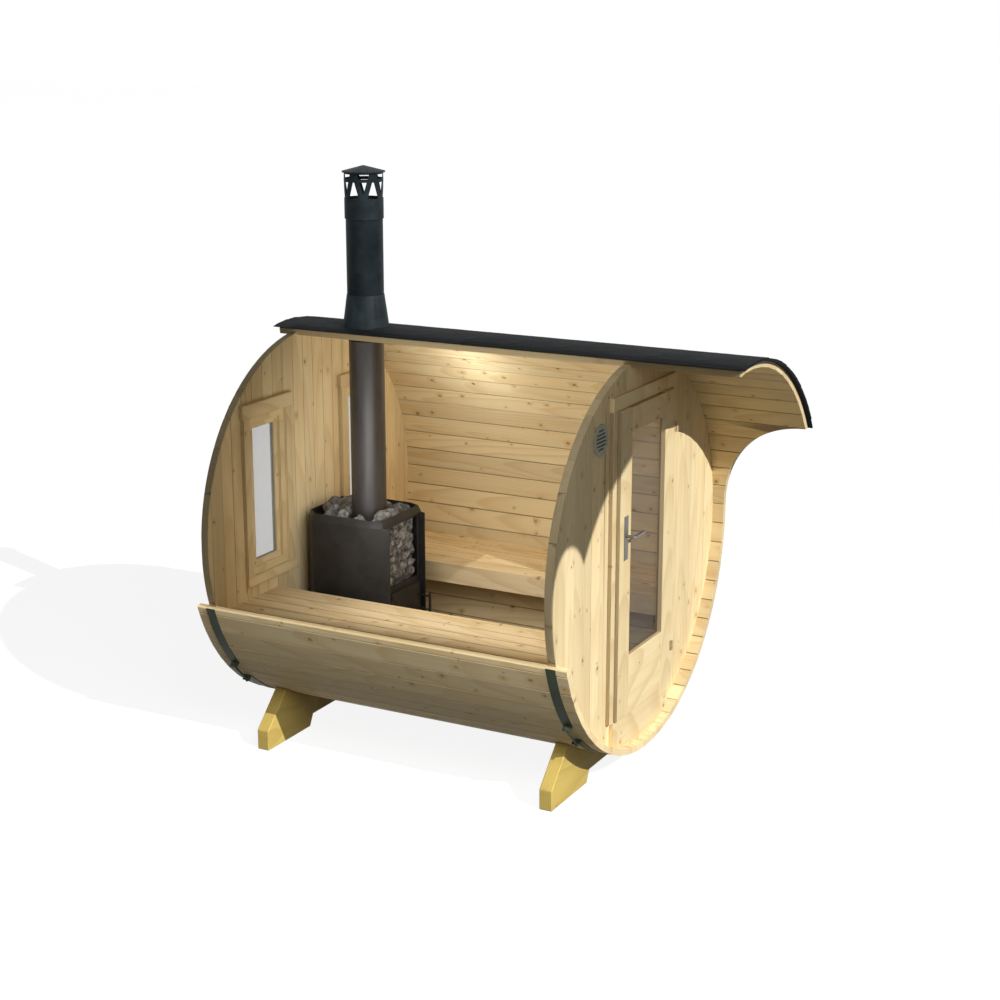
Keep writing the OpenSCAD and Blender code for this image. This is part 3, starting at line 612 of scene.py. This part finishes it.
wallBoards = {
    "pitch": 0.0955,
    "phase": 0.667 - 7 * 0.0955,  # puts a joint where one shows beside the door
    "gap": 0.0006,
    "chamfer": 0.003,
    "front": ["front_wall_left", "front_wall_right", "front_wall_over_door", "front_wall_under_door"],
    "back": ["back_wall_near", "back_wall_middle", "back_wall_far", "back_wall_over_windows",
             "back_wall_under_windows"],
}
wallRadius = (backWall[1].z - backWall[0].z) / 2


def inWall(place):
    return math.hypot(place.x, place.z - axisZ) < wallRadius


for wallSeed, wall in ((1000, "front"), (2000, "back")):
    for node in wallBoards[wall]:
        pile = BoardPile()
        solid = solidCopy(node)
        low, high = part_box(node)
        pitch, phase, gap = wallBoards["pitch"], wallBoards["phase"], wallBoards["gap"]
        for row in range(math.floor((low.x - phase) / pitch), math.ceil((high.x - phase) / pitch)):
            left = phase + row * pitch + gap / 2
            strip = slab(solid, 0, max(left, low.x - 1), left + pitch - gap)
            for board in islands(strip):
                pile.add(board, zAxis, yAxis, wallBoards["chamfer"], wallSeed + row, inWall)
        pile.build(node + "_boards", wallPine, "sauna", [node])
print("walls boarded")


# Door joinery

joinery = {
    "chamfer": 0.002,
    "stile": 0.130,  # width of the leaf's stiles
    "nick": 0.0002,  # a cut stays this far off a face that it would lie on
    "rebate": 0.0097,
    "sash": 0.032,
    "frame": 0.038,
    "casingDepth": 0.01,  # a part farther than this from the pane is casing
}


# the narrow sides of the door's boards are all painted dark, as the shade that lies in their joints
def inShade(place):
    return True


def cutRails(pile, solid, axis, low, high, outward, seed, joined=None):
    stileWay, railWay = (zAxis, xAxis) if axis == 0 else (xAxis, zAxis)
    parts = [(slab(solid, axis, None, low), stileWay), (slab(solid, axis, high), stileWay),
             (slab(solid, axis, low, high), railWay)]
    for part, along in parts:
        for board in islands(part):
            seed += 1
            pile.add(board, along, outward, joinery["chamfer"], seed, joined, (False, False))


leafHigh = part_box("door_leaf")[1]
paneSide = leafHigh.x - joinery["stile"] - joinery["nick"]
pile = BoardPile()
cutRails(pile, solidCopy("door_leaf"), 0, -paneSide, paneSide, yAxis, 3000, inShade)
pile.build("door_leaf_frame", joineryPine, "front_door", ["door_leaf"])

pile = BoardPile()
for count, board in enumerate(islands(solidCopy("door_casing"))):
    size = [max(v.co[i] for v in board.verts) - min(v.co[i] for v in board.verts) for i in range(3)]
    pile.add(board, zAxis if size[2] > size[0] else xAxis, yAxis, joinery["chamfer"], 3100 + count,
             inShade, (False, False))
pile.build("door_casing_trim", joineryPine, "sauna", ["door_casing"])

pile = BoardPile()
pile.add(solidCopy("door_sill"), xAxis, yAxis, joinery["chamfer"], 3200)
pile.build("door_sill_board", joineryPine, "sauna", ["door_sill"])

for count, side in enumerate(("near", "far")):
    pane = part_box(side + "_window_glass")
    reach = joinery["sash"] + joinery["frame"] - joinery["rebate"]
    pile = BoardPile()
    for number, part in enumerate(islands(solidCopy(side + "_window_frame"))):
        cased = abs(middleOf(part).y - (pane[0].y + pane[1].y) / 2) > joinery["casingDepth"]
        inset = reach + joinery["nick"] if cased else -joinery["rebate"] + joinery["nick"]
        seed = 3300 + 60 * count + 20 * number
        cutRails(pile, part, 2, pane[0].z - inset, pane[1].z + inset, yAxis, seed)
    pile.build(side + "_window_joinery", joineryPine, "sauna", [side + "_window_frame"])
print("joinery cut")


# Benches, floor and cradles

seating = {"chamfer": 0.003, "apron": 0.028, "nick": 0.0002}
cradles = {"bevel": 0.004, "chamfer": 0.0005}


def layPlanks(node, along, seed, finish):
    low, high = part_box(node)
    pile = BoardPile()
    for number, board in enumerate(islands(solidCopy(node))):
        pile.add(board, along, zAxis, seating["chamfer"], seed + number,
                 lambda place: low.x < place.x < high.x)
    pile.build(node + "_planks", finish, "sauna", [node])


for count, side in enumerate(("near", "far")):
    layPlanks(side + "_bench_boards", yAxis, 4000 + 20 * count, benchPine)
    node = side + "_bench_frame"
    low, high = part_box(node)
    pile = BoardPile()
    solid = solidCopy(node)
    deep = seating["apron"] + seating["nick"]
    cut = high.x - deep if side == "near" else low.x + deep
    apron, rest = slab(solid, 0, cut), slab(solid, 0, None, cut)
    if side == "far":
        apron, rest = rest, apron
    pile.add(apron, yAxis, xAxis, seating["chamfer"], 4100 + count)
    for number, board in enumerate(islands(rest)):
        pile.add(board, xAxis, zAxis, seating["chamfer"], 4200 + 10 * count + number)
    pile.build(node + "_timbers", benchPine, "sauna", [node])

layPlanks("floor_boards", yAxis, 4300, floorPine)
layPlanks("floor_bearers", xAxis, 4400, floorPine)

for count, node in enumerate(("front_cradle", "back_cradle")):
    pile = BoardPile()
    beam = solidCopy(node)
    chamferEdges(beam, cradles["bevel"])
    pile.add(beam, xAxis, yAxis, cradles["chamfer"], 4500 + count)
    pile.build(node + "_beam", cradlePine, "sauna", [node])
print("benches, floor and cradles laid")


# Metalwork: merged copies with soft edges

metalSharp = 28.0  # degrees
metalwork = {
    "sauna": [
        ("front_hoop", hoopPaint, "hoop_steel", 0.0006), ("back_hoop", hoopPaint, "hoop_steel", 0.0006),
        ("vent_grille", ventPaint, "vent_paint", 0.0006), ("casing_hinges", hingeBrass, "steel", 0.0005),
        ("stove_body", stovePaint, "stove_paint", 0.0015),
        ("stove_collar", stovePaint, "stove_paint", 0.0012),
        ("flue_pipe", fluePaint, "flue_paint", 0.0008),
        ("chimney_pipe", chimneyPaint, "chimney_paint", 0.0008),
        ("roof_flashing", chimneyPaint, "chimney_paint", 0.0006),
        ("chimney_cap", chimneyPaint, "chimney_paint", 0.0005),
        ("chimney_lid", chimneyPaint, "chimney_paint", 0.0012),
    ],
    "front_door": [("handle_plates", brushedSteel, "steel", 0.0012),
                   ("door_hinges", hingeBrass, "steel", 0.0005)],
    "door_lever": [("door_lever", brushedSteel, "steel", 0.0008)],
    "stove_door": [("firebox_door", stovePaint, "stove_paint", 0.0012),
                   ("firebox_handle", stovePaint, "stove_paint", 0.001)],
}
for body, rows in metalwork.items():
    for node, finish, slot, softness in rows:
        solid = solidCopy(node)
        chamferEdges(solid, softness)
        placeSolid(node + "_metal", solid, finish, body, [node], metalSharp)
for node, finish in (("near_window_glass", windowGlass), ("far_window_glass", windowGlass),
                     ("door_glass", doorGlass), ("roof_shingles", shingleFelt)):
    nodes[node].data.materials.clear()
    nodes[node].data.materials.append(finish)

# an insect screen closes the vent's hole, just behind the slots; it is painted darker than the plate, as
# the shade inside the slots
ventScreen = {"inset": 0.0169, "behind": 0.004, "thickness": 0.002, "segments": 40}
ventLow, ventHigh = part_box("vent_grille")
ventRadius = (ventHigh.x - ventLow.x) / 2 - ventScreen["inset"]  # just into the sleeve
ventPlace = (ventLow + ventHigh) / 2
ventPlace.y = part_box("front_wall_left")[0].y + ventScreen["behind"]
screen = bmesh.new()
bmesh.ops.create_cone(screen, cap_ends=True, segments=ventScreen["segments"], radius1=ventRadius,
                      radius2=ventRadius, depth=ventScreen["thickness"],
                      matrix=Matrix.Translation(ventPlace) @ Matrix.Rotation(math.pi / 2, 4, "X"))
placeSolid("vent_screen", screen, screenPaint, "sauna")

# a plain band rings the cap's lattice a little under the lid
capBand = {"drop": 0.030, "height": 0.017, "proud": 0.0008, "wall": 0.004, "steps": 64}
capLow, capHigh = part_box("chimney_cap")
capMiddle = (capLow + capHigh) / 2
bandRadius = (capHigh.x - capLow.x) / 2 + capBand["proud"]
bandTop = capHigh.z - capBand["drop"]
band = bmesh.new()
outline = ((0, 0), (0, capBand["height"]), (capBand["wall"], capBand["height"]), (capBand["wall"], 0))
corners = [band.verts.new((capMiddle.x + bandRadius - inward, capMiddle.y, bandTop - down))
           for inward, down in outline]
profile = [band.edges.new((corners[n], corners[(n + 1) % 4])) for n in range(4)]
bmesh.ops.spin(band, geom=corners + profile, cent=capMiddle, axis=zAxis, angle=2 * math.pi,
               steps=capBand["steps"], use_merge=True)
bmesh.ops.remove_doubles(band, verts=band.verts, dist=1e-5)
bmesh.ops.recalc_face_normals(band, faces=band.faces)
placeSolid("chimney_cap_band", band, chimneyPaint, "sauna", sharp=metalSharp)
print("metalwork and glass finished")


# Shingles: strips with a notched lower edge, laid flat in courses and then bent over the roof

shingles = {
    "tabs": 10.5,  # tabs in a course
    "courseStep": 0.138,
    "overlap": 0.12,
    "notch": 0.062,
    "thickness": 0.0023,
    "lift": 0.0046,
    "columns": 8,  # across a tab
    "rows": 4,
    "drip": 0.019,  # how far the courses reach past the roof's near edge
    "lastCourse": 0.03,  # a course narrower than this is left off at the top
    "clear": 0.0002,
    "seed": 7,
}
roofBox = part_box("roof_shingles")
roofRadius = roofBox[1].z - axisZ
eaveTurn = math.asin((roofBox[0].z - axisZ) / roofRadius)
ridgeTurn = math.pi - math.acos(-roofBox[0].x / roofRadius)
roofSlope = roofRadius * (ridgeTurn - eaveTurn)
roofLength = roofBox[1].y - roofBox[0].y
sizes = {
    "Length": roofLength,
    "Pitch": roofLength / shingles["tabs"],
    "Courses": math.ceil((roofSlope - shingles["lastCourse"]) / shingles["courseStep"]),
    "Course Step": shingles["courseStep"],
    "Strip": shingles["courseStep"] + shingles["overlap"],
    "Columns": round(shingles["tabs"] * shingles["columns"]) + 1,
    "Rows": shingles["rows"],
    "Notch": shingles["notch"],
    "Thickness": shingles["thickness"],
    "Lift": shingles["lift"],
    "Radius": roofRadius + shingles["clear"],
    "Eave": eaveTurn,
    "Slope": roofSlope + shingles["drip"],
    "Axis": axisZ,
    "Seed": shingles["seed"],
}
group, tree, given = newGrowth("shingleCourses", sizes)
line = tree.node("GeometryNodeMeshLine", {"mode": "OFFSET"}, {
    "Count": given["Courses"], "Start Location": tree.point(given["Strip"] * 0.5),
    "Offset": tree.point(given["Course Step"]),
})
line = tree.store(line, "course", tree.node("GeometryNodeInputIndex"))
strip = tree.node("GeometryNodeMeshGrid", None, {
    "Size X": given["Strip"], "Size Y": given["Length"],
    "Vertices X": given["Rows"], "Vertices Y": given["Columns"],
})
laid = tree.node("GeometryNodeInstanceOnPoints", None, {"Points": line, "Instance": strip})
laid = tree.node("GeometryNodeRealizeInstances", None, {"Geometry": laid})
course = tree.stored("course")
spot = tree.split(tree.node("GeometryNodeInputPosition"))
# 0 at a course's lower edge, 1 at its upper
upward = (spot.of(0) - course * given["Course Step"]) / given["Strip"]
tab = spot.of(1) / given["Pitch"] + 0.25 + (course % 2.0) * 0.5 + 20.0
away = tree.math("ABSOLUTE", tab % 1.0 - 0.5)
valley = tree.math("MAXIMUM", away * 4.0 - 1.0, 0.0)
slope = spot.of(0) + valley * given["Notch"] * (1 - upward) * (1 - upward)
slope = tree.math("MINIMUM", slope, given["Slope"] - upward * 0.0004)
laid = tree.place(laid, tree.point(slope, spot.of(1), (1 - upward) * given["Lift"]))
tone = tree.chance(0.0, 1.0, given["Seed"], tree.math("FLOOR", tab) + course * 57.0)
laid = tree.store(laid, "tabTone", tone, "FACE")
top = tree.node("GeometryNodeExtrudeMesh", {"mode": "FACES"},
                {"Mesh": laid, "Offset Scale": given["Thickness"], "Individual": False})
under = tree.node("GeometryNodeFlipFaces", None, {"Mesh": laid})
shut = tree.node("GeometryNodeMergeByDistance", None,
                 {"Geometry": tree.together((top, under)), "Distance": 0.00002})
spot = tree.split(tree.node("GeometryNodeInputPosition"))
turn = given["Eave"] + spot.of(0) / given["Radius"]
reach = given["Radius"] + spot.of(2)
bent = tree.point(reach * tree.math("COSINE", turn), spot.of(1),
                  given["Axis"] + reach * tree.math("SINE", turn))
endGrowth(tree, tree.place(shut, bent), shingleFelt)
mesh = growMesh("shingles", bpy.data.meshes.new("shingleHost"), group, sizes)
placePiece("shingle_courses", mesh, shingleFelt, "sauna")
print("shingles laid:", len(mesh.polygons), "faces")


# Stones: broken rocks, each the hull of a few chance points, heaped on a core that is painted dark as the
# shade between them

stones = {
    "shapes": 9,
    "corners": 15,
    "size": (0.030, 0.047),  # half a stone's length
    "squash": (1.0, 0.86, 0.74),
    "topBulk": 1.45,  # how much larger the stones on top are
    "chip": 0.007,
    "spacing": 0.078,
    "stray": 0.016,  # by chance, to each side
    "heightStray": 0.012,
    "stagger": 0.012,  # of every other row
    "layerDrop": 0.055,
    "topLift": 0.002,
    "flueGap": 0.040,
    "rim": 0.064,  # from the sheet to a stone's middle
    "cornerCut": 0.062,
    "crown": 0.018,
    "frontRows": 6,
    "frontColumns": 7,
    "frontWide": 0.300,
    "frontStray": 0.010,
    "frontDepth": (0.030, 0.048),  # from the heap's front to a stone's middle
    "frontEnds": (0.045, 0.115),  # below and above the front's stones
    "coreScale": 0.88,
    "coreShift": (0, 0.004, -0.045),
    "sharp": 32.0,  # degrees
    "seed": 41,
}
sizes = {
    "Corners": stones["corners"], "Small": stones["size"][0], "Large": stones["size"][1],
    "Chip": stones["chip"], "Seed": stones["seed"],
}
group, tree, given = newGrowth("brokenStones", sizes)
kinds = []
for number in range(stones["shapes"]):
    dots = tree.node("GeometryNodeMeshLine", {"mode": "OFFSET"}, {"Count": given["Corners"]})
    spot = tree.chanceVector((-1, -1, -1), (1, 1, 1), given["Seed"] + float(number))
    spot = tree.node("ShaderNodeVectorMath", {"operation": "NORMALIZE"}, {0: spot})
    dots = tree.place(dots, tree.stretch(spot, stones["squash"]))
    hull = tree.node("GeometryNodeConvexHull", None, {"Geometry": dots})
    kinds.append(tree.node("GeometryNodeGeometryToInstance", None, {"Geometry": hull}))
size = tree.chance(given["Small"], given["Large"], given["Seed"] + 50.0) * tree.stored("bulk")
roll = tree.chanceVector((0, 0, 0), (6.28, 6.28, 6.28), given["Seed"] + 60.0)
choice = tree.node("FunctionNodeRandomValue", {"data_type": "INT"},
                   {4: 0, 5: stones["shapes"] - 1, 8: given["Seed"] + 70.0}, 2)
dots = tree.store(given["Geometry"], "stoneTone", tree.chance(0.0, 1.0, given["Seed"] + 80.0))
heap = tree.node("GeometryNodeInstanceOnPoints", None, {
    "Points": dots, "Instance": tree.together(kinds), "Pick Instance": True, "Instance Index": choice,
    "Rotation": roll, "Scale": tree.point(size, size, size),
})
heap = tree.node("GeometryNodeRealizeInstances", None, {"Geometry": heap})
heap = tree.node("GeometryNodeSubdivisionSurface", None, {"Mesh": heap, "Level": 2, "Edge Crease": 0.62})
chip = tree.noise(tree.node("GeometryNodeInputPosition"), 55.0, 2.0) - 0.5
heap = tree.node("GeometryNodeSetPosition", None, {
    "Geometry": heap,
    "Offset": tree.shade(tree.node("GeometryNodeInputNormal"), chip * given["Chip"]),
})
endGrowth(tree, heap, heapStone)

heapLow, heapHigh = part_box("stove_stones")
flueLow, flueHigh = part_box("flue_pipe")
flueMiddle, flueRadius = (flueLow + flueHigh) / 2, (flueHigh.x - flueLow.x) / 2
luck = random.Random(stones["seed"])
rim, gap, stagger = stones["rim"], stones["spacing"], stones["stagger"]
stray, frontStray, heightStray = stones["stray"], stones["frontStray"], stones["heightStray"]
heapMiddle = (heapLow + heapHigh) / 2
places = []


def scatter(count, across):
    return [(i - (count - 1) / 2) * across / max(1, count - 1) for i in range(count)]


wide, deep = heapHigh.x - heapLow.x - 2 * rim, heapHigh.y - heapLow.y - 2 * rim
for layer in range(2):
    for row, dy in enumerate(scatter(round(deep / gap) + 1, deep)):
        for dx in scatter(round(wide / gap) + 1, wide):
            x = dx + luck.uniform(-stray, stray) + (stagger if row % 2 else -stagger)
            y = heapMiddle.y + dy + luck.uniform(-stray, stray)
            x = min(max(x, -wide / 2), wide / 2)
            corner = abs(x) + max(0.0, y - heapMiddle.y) - (wide + deep) / 2
            nearFlue = math.hypot(x, y - flueMiddle.y) < flueRadius + stones["flueGap"]
            if nearFlue or corner > -stones["cornerCut"]:
                continue
            outward = math.hypot(x / (wide / 2), (y - heapMiddle.y) / (deep / 2)) / 1.2
            fall = stones["crown"] * outward ** 2 + stones["layerDrop"] * layer
            z = heapHigh.z + stones["topLift"] - fall + luck.uniform(-heightStray, heightStray)
            places.append((x, y, z))
bulk = [stones["topBulk"]] * len(places)
frontLow, frontHigh = heapLow.z + stones["frontEnds"][0], heapHigh.z - stones["frontEnds"][1]
for dz in scatter(stones["frontRows"], frontHigh - frontLow):
    for dx in scatter(stones["frontColumns"], stones["frontWide"]):
        x = dx + luck.uniform(-frontStray, frontStray)
        y = heapLow.y + luck.uniform(*stones["frontDepth"])
        z = (frontLow + frontHigh) / 2 + dz + luck.uniform(-heightStray, heightStray)
        places.append((x, y, z))
host = bpy.data.meshes.new("stonePlaces")
host.from_pydata(places, [], [])
bulk += [1.0] * (len(places) - len(bulk))
host.attributes.new("bulk", "FLOAT", "POINT").data.foreach_set("value", bulk)
rocks = growMesh("stones", host, group, sizes)
# the core has no stoneTone, so it takes the darkest tone: painted shade in the gaps between the stones
core = solidCopy("stove_stones")
coreScale = (stones["coreScale"], stones["coreScale"], 1)
bmesh.ops.scale(core, vec=coreScale, verts=core.verts, space=Matrix.Translation(-heapMiddle))
bmesh.ops.translate(core, vec=stones["coreShift"], verts=core.verts)
core = slab(core, 2, heapLow.z)
core.from_mesh(rocks)
heap = placeSolid("stove_stone_heap", core, heapStone, "sauna", ["stove_stones"],
                  stones["sharp"])
print("stones heaped:", len(places), "stones,", len(heap.data.polygons), "faces")


# Screws and nuts: turned heads with a square socket, and six-sided nuts on the tensioner bolts

fasteners = {
    "screwRadius": 0.0042, "screwHeight": 0.0016, "nutRadius": 0.0125, "nutHeight": 0.009,
    "tensionTurn": 225.0, "boltReach": 0.0157, "nutPlace": 0.083,  # on the hoop's tensioner bolt
    "plateInset": 0.016,  # from a handle plate's end to its screw
}
screws = {"Sides": 14, "Radius": fasteners["screwRadius"], "Height": fasteners["screwHeight"], "Slot": 0.62}
nuts = {"Sides": 6, "Radius": fasteners["nutRadius"], "Height": fasteners["nutHeight"], "Slot": 0.3}
group, tree, given = newGrowth("turnedHeads", screws)
head = tree.node("GeometryNodeMeshCone", {"fill_type": "NGON"}, {
    "Vertices": given["Sides"], "Radius Top": given["Radius"] * 0.86, "Radius Bottom": given["Radius"],
    "Depth": given["Height"],
})
slotWide = given["Radius"] * given["Slot"]
slot = tree.node("GeometryNodeMeshCone", {"fill_type": "NGON"}, {
    "Vertices": 4, "Radius Top": slotWide, "Radius Bottom": slotWide * 0.7, "Depth": given["Height"] * 0.7,
})
slot = tree.node("GeometryNodeTransform", None,
                 {"Geometry": slot, "Translation": tree.point(z=given["Height"] * 0.45)})
cut = tree.node("GeometryNodeMeshBoolean", {"operation": "DIFFERENCE"}, {"Mesh 1": head, "Mesh 2": slot})
lean = tree.node("FunctionNodeAlignRotationToVector", {"axis": "Z"},
                 {"Vector": tree.stored("way", "FLOAT_VECTOR")})
rows = tree.node("GeometryNodeInstanceOnPoints", None,
                 {"Points": given["Geometry"], "Instance": cut, "Rotation": lean})
endGrowth(tree, rows, brushedSteel)


def fastenerRow(name, rows, body, finish, sizes):
    host = bpy.data.meshes.new(name + "Places")
    host.from_pydata([place for place, way in rows], [], [])
    ways = host.attributes.new("way", "FLOAT_VECTOR", "POINT")
    ways.data.foreach_set("vector", [c for place, way in rows for c in way])
    mesh = growMesh(name, host, group, sizes)
    placePiece(name, mesh, finish, body)
    print(name + ":", len(rows))


rows = []
turn = math.radians(fasteners["tensionTurn"])
for node in ("front_hoop", "back_hoop"):
    low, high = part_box(node)
    reach = axisZ - low.z + fasteners["boltReach"]
    middle = Vector((reach * math.cos(turn), (low.y + high.y) / 2, axisZ + reach * math.sin(turn)))
    tangent = Vector((-math.sin(turn), 0, math.cos(turn)))
    for way in (-1, 1):
        rows.append((middle + way * fasteners["nutPlace"] * tangent, way * tangent))
fastenerRow("hoop_nuts", rows, "sauna", hoopPaint, nuts)

rows = []
rise = fasteners["screwHeight"] * 0.3
plateLow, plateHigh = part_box("handle_plates")
for y, way in ((plateLow.y - rise, -1), (plateHigh.y + rise, 1)):
    for z in (plateLow.z + fasteners["plateInset"], plateHigh.z - fasteners["plateInset"]):
        rows.append((((plateLow.x + plateHigh.x) / 2, y, z), (0, way, 0)))
fastenerRow("handle_screws", rows, "front_door", brushedSteel, screws)


# Light, floor and camera

light = {  # places are from the barrel axis
    "sunWay": (0.36, 1.0, -0.745),
    "sunStrength": 3.85,
    "sunFar": 1000.0,
    "sunRadius": 0.014,
    "roomLamps": [((0.46, 0.55, 0.60), 4.2), ((-0.62, 0.60, 0.30), 1.6)],  # place and power
    "roomColor": (0.86, 0.93, 1.0),
    "roomRadius": 0.18,
    "roomPieces": ("far_", "roof_staves", "near_bench", "near_window", "back_wall", "floor_", "stove_",
                   "firebox_", "flue_"),
    "frontPieces": ("front_wall", "door_", "vent_", "casing_", "handle_"),
    "panels": [  # place, target, power, width, height and what is left out
        ((-3.6, -2.1, 2.7), (-0.9, 0.0, -0.4), 130.0, 2.0, 2.0, ("roomPieces", "frontPieces")),
        ((-3.6, -2.1, 2.7), (-0.9, 0.0, -0.4), 35.0, 2.0, 2.0, ("roomPieces",)),
        ((-0.72, 0.0, 0.24), (0.90, 0.0, -0.05), 9.5, 1.4, 0.6, ()),
    ],
    "sky": (1.0, 0.99, 0.97),
    "skyStrength": 0.095,
    "floor": (0.93, 0.93, 0.92),
    "floorBounce": 0.08,
    "floorGlow": 0.84,  # share of the floor's white that the shadow leaves
    "floorWhite": 1.06,
    "floorHalf": 60.0,
}
mask = {  # the shape that the key lamp's beam leaves dark, from the barrel axis
    "radius": 1.012, "near": 0.106, "low": -0.346, "back": 1.25,
    "front": -0.80, "awning": -1.304, "cutLow": 0.03, "cutReach": 0.5,
}


def hangLamp(name, kind, place, settings):
    lamp = bpy.data.lights.new(name, kind)
    for key, value in settings.items():
        setattr(lamp, key, value)
    holder = bpy.data.objects.new(name, lamp)
    holder.location = place
    holder.visible_camera = False
    holder.visible_glossy = False
    holder.visible_transmission = False
    scene.collection.objects.link(holder)
    return holder


def aim(holder, way):
    holder.rotation_mode = "QUATERNION"
    holder.rotation_quaternion = way.to_track_quat("-Z", "Y")


def emptyTree(owner):
    owner.use_nodes = True
    owner.node_tree.nodes.clear()
    return Nodes(owner.node_tree)


# 1 for the rays that show the white background: straight, mirrored or let through
def whiteRays(tree):
    path = tree.node("ShaderNodeLightPath")
    seen = tree.math("MAXIMUM", path.of("Is Camera Ray"), path.of("Is Glossy Ray"))
    return tree.math("MAXIMUM", seen, path.of("Is Transmission Ray"))


# The key lamp is far off and its beam is masked: dark where the cut-away half of the shell would shade
# the rest. Each ray is followed to where it first meets the barrel's round.
sunPlace = Vector(light["sunWay"]).normalized() * -light["sunFar"]
sun = hangLamp("keySun", "POINT", sunPlace + axisZ * zAxis, {
    "energy": light["sunStrength"] * 4 * math.pi * light["sunFar"] ** 2,
    "shadow_soft_size": light["sunRadius"], "use_soft_falloff": True,
})
sun.visible_glossy = True
tree = emptyTree(sun.data)
ray = tree.split(tree.node("ShaderNodeTexCoord").of("Normal"))
across = ray.of(0) * ray.of(0) + ray.of(2) * ray.of(2)
toward = ray.of(0) * sunPlace.x + ray.of(2) * sunPlace.z
aside = ray.of(2) * sunPlace.x - ray.of(0) * sunPlace.z
meets = across * mask["radius"] ** 2 - aside * aside  # above 0 for a ray that meets the round
reach = (0 - toward - tree.math("SQRT", tree.math("MAXIMUM", meets, 0.0))) / across
hitX, hitY, hitZ = [ray.of(n) * reach + sunPlace[n] for n in range(3)]
rise = tree.node("ShaderNodeClamp", None, {0: (hitZ - mask["cutLow"]) / mask["cutReach"]})
front = tree.math("SQRT", 1 - rise * rise) * (mask["front"] - mask["awning"]) + mask["awning"]
shaded = 1.0
for value, limit in ((meets, 0.0), (hitZ, mask["low"]), (0 - hitX, mask["near"]), (hitY, front),
                     (0 - hitY, -mask["back"])):
    shaded = shaded * tree.math("GREATER_THAN", value, limit)
beam = tree.node("ShaderNodeEmission", None, {"Strength": 1 - shaded})
tree.node("ShaderNodeOutputLight", None, {"Surface": beam})

for number, (place, power) in enumerate(light["roomLamps"]):
    hangLamp("roomLamp" + str(number), "POINT", Vector(place) + axisZ * zAxis,
             {"energy": power, "color": light["roomColor"], "shadow_soft_size": light["roomRadius"]})

# the outer panels leave out the room, which has its own lamps, and the stronger one the front too
for number, (place, target, power, width, height, leftOut) in enumerate(light["panels"]):
    panel = hangLamp("softPanel" + str(number), "AREA", Vector(place) + axisZ * zAxis,
                     {"energy": power, "shape": "RECTANGLE", "size": width, "size_y": height})
    panel.visible_glossy = True
    unlit = bpy.data.collections.new("unlit" + str(number))
    for piece in scene.objects:
        if any(piece.name.startswith(light[part]) for part in leftOut):
            unlit.objects.link(piece)
    for row in unlit.collection_objects:
        row.light_linking.link_state = "EXCLUDE"
    if leftOut:
        panel.light_linking.receiver_collection = unlit
    aim(panel, Vector(target) - Vector(place))

world = bpy.data.worlds.new("studio")
scene.world = world
tree = emptyTree(world)
sky = tree.node("ShaderNodeBackground", None, {"Color": light["sky"], "Strength": light["skyStrength"]})
white = tree.node("ShaderNodeBackground", None, {"Color": (1, 1, 1), "Strength": 1.0})
both = tree.node("ShaderNodeMixShader", None, {0: whiteRays(tree), 1: sky, 2: white})
tree.node("ShaderNodeOutputWorld", None, {"Surface": both})

floorFinish = bpy.data.materials.new("paleFloor")
tree = emptyTree(floorFinish)
lit = tree.node("ShaderNodeBsdfDiffuse", None, {"Color": light["floor"]})
glow = tree.node("ShaderNodeEmission", None, {"Color": (1, 1, 1), "Strength": light["floorWhite"]})
shown = tree.node("ShaderNodeMixShader", None, {0: light["floorGlow"], 1: lit, 2: glow})
dim = [light["floorBounce"] * c for c in light["floor"]]
bounce = tree.node("ShaderNodeBsdfDiffuse", None, {"Color": dim})
both = tree.node("ShaderNodeMixShader", None, {0: whiteRays(tree), 1: bounce, 2: shown})
tree.node("ShaderNodeOutputMaterial", None, {"Surface": both})
floorMesh = bpy.data.meshes.new("studioFloor")
half = light["floorHalf"]
corners = [(-half, -half, 0), (half, -half, 0), (half, half, 0), (-half, half, 0)]
floorMesh.from_pydata(corners, [], [(0, 1, 2, 3)])
floorMesh.materials.append(floorFinish)
studioFloor = bpy.data.objects.new("studioFloor", floorMesh)
scene.collection.objects.link(studioFloor)

view = {
    "place": (-8.4951, -4.4269, 3.8774),
    "target": (-0.0337, 0.0394, 1.3345),
    "lens": 68.65,
    "sensor": 36.0,
}
camera = bpy.data.objects.new("viewCamera", bpy.data.cameras.new("viewCamera"))
camera.data.lens = view["lens"]
camera.data.sensor_width = view["sensor"]
camera.location = view["place"]
aim(camera, Vector(view["target"]) - Vector(view["place"]))
scene.collection.objects.link(camera)
scene.camera = camera
scene.view_settings.view_transform = "Standard"
print("light and camera set")
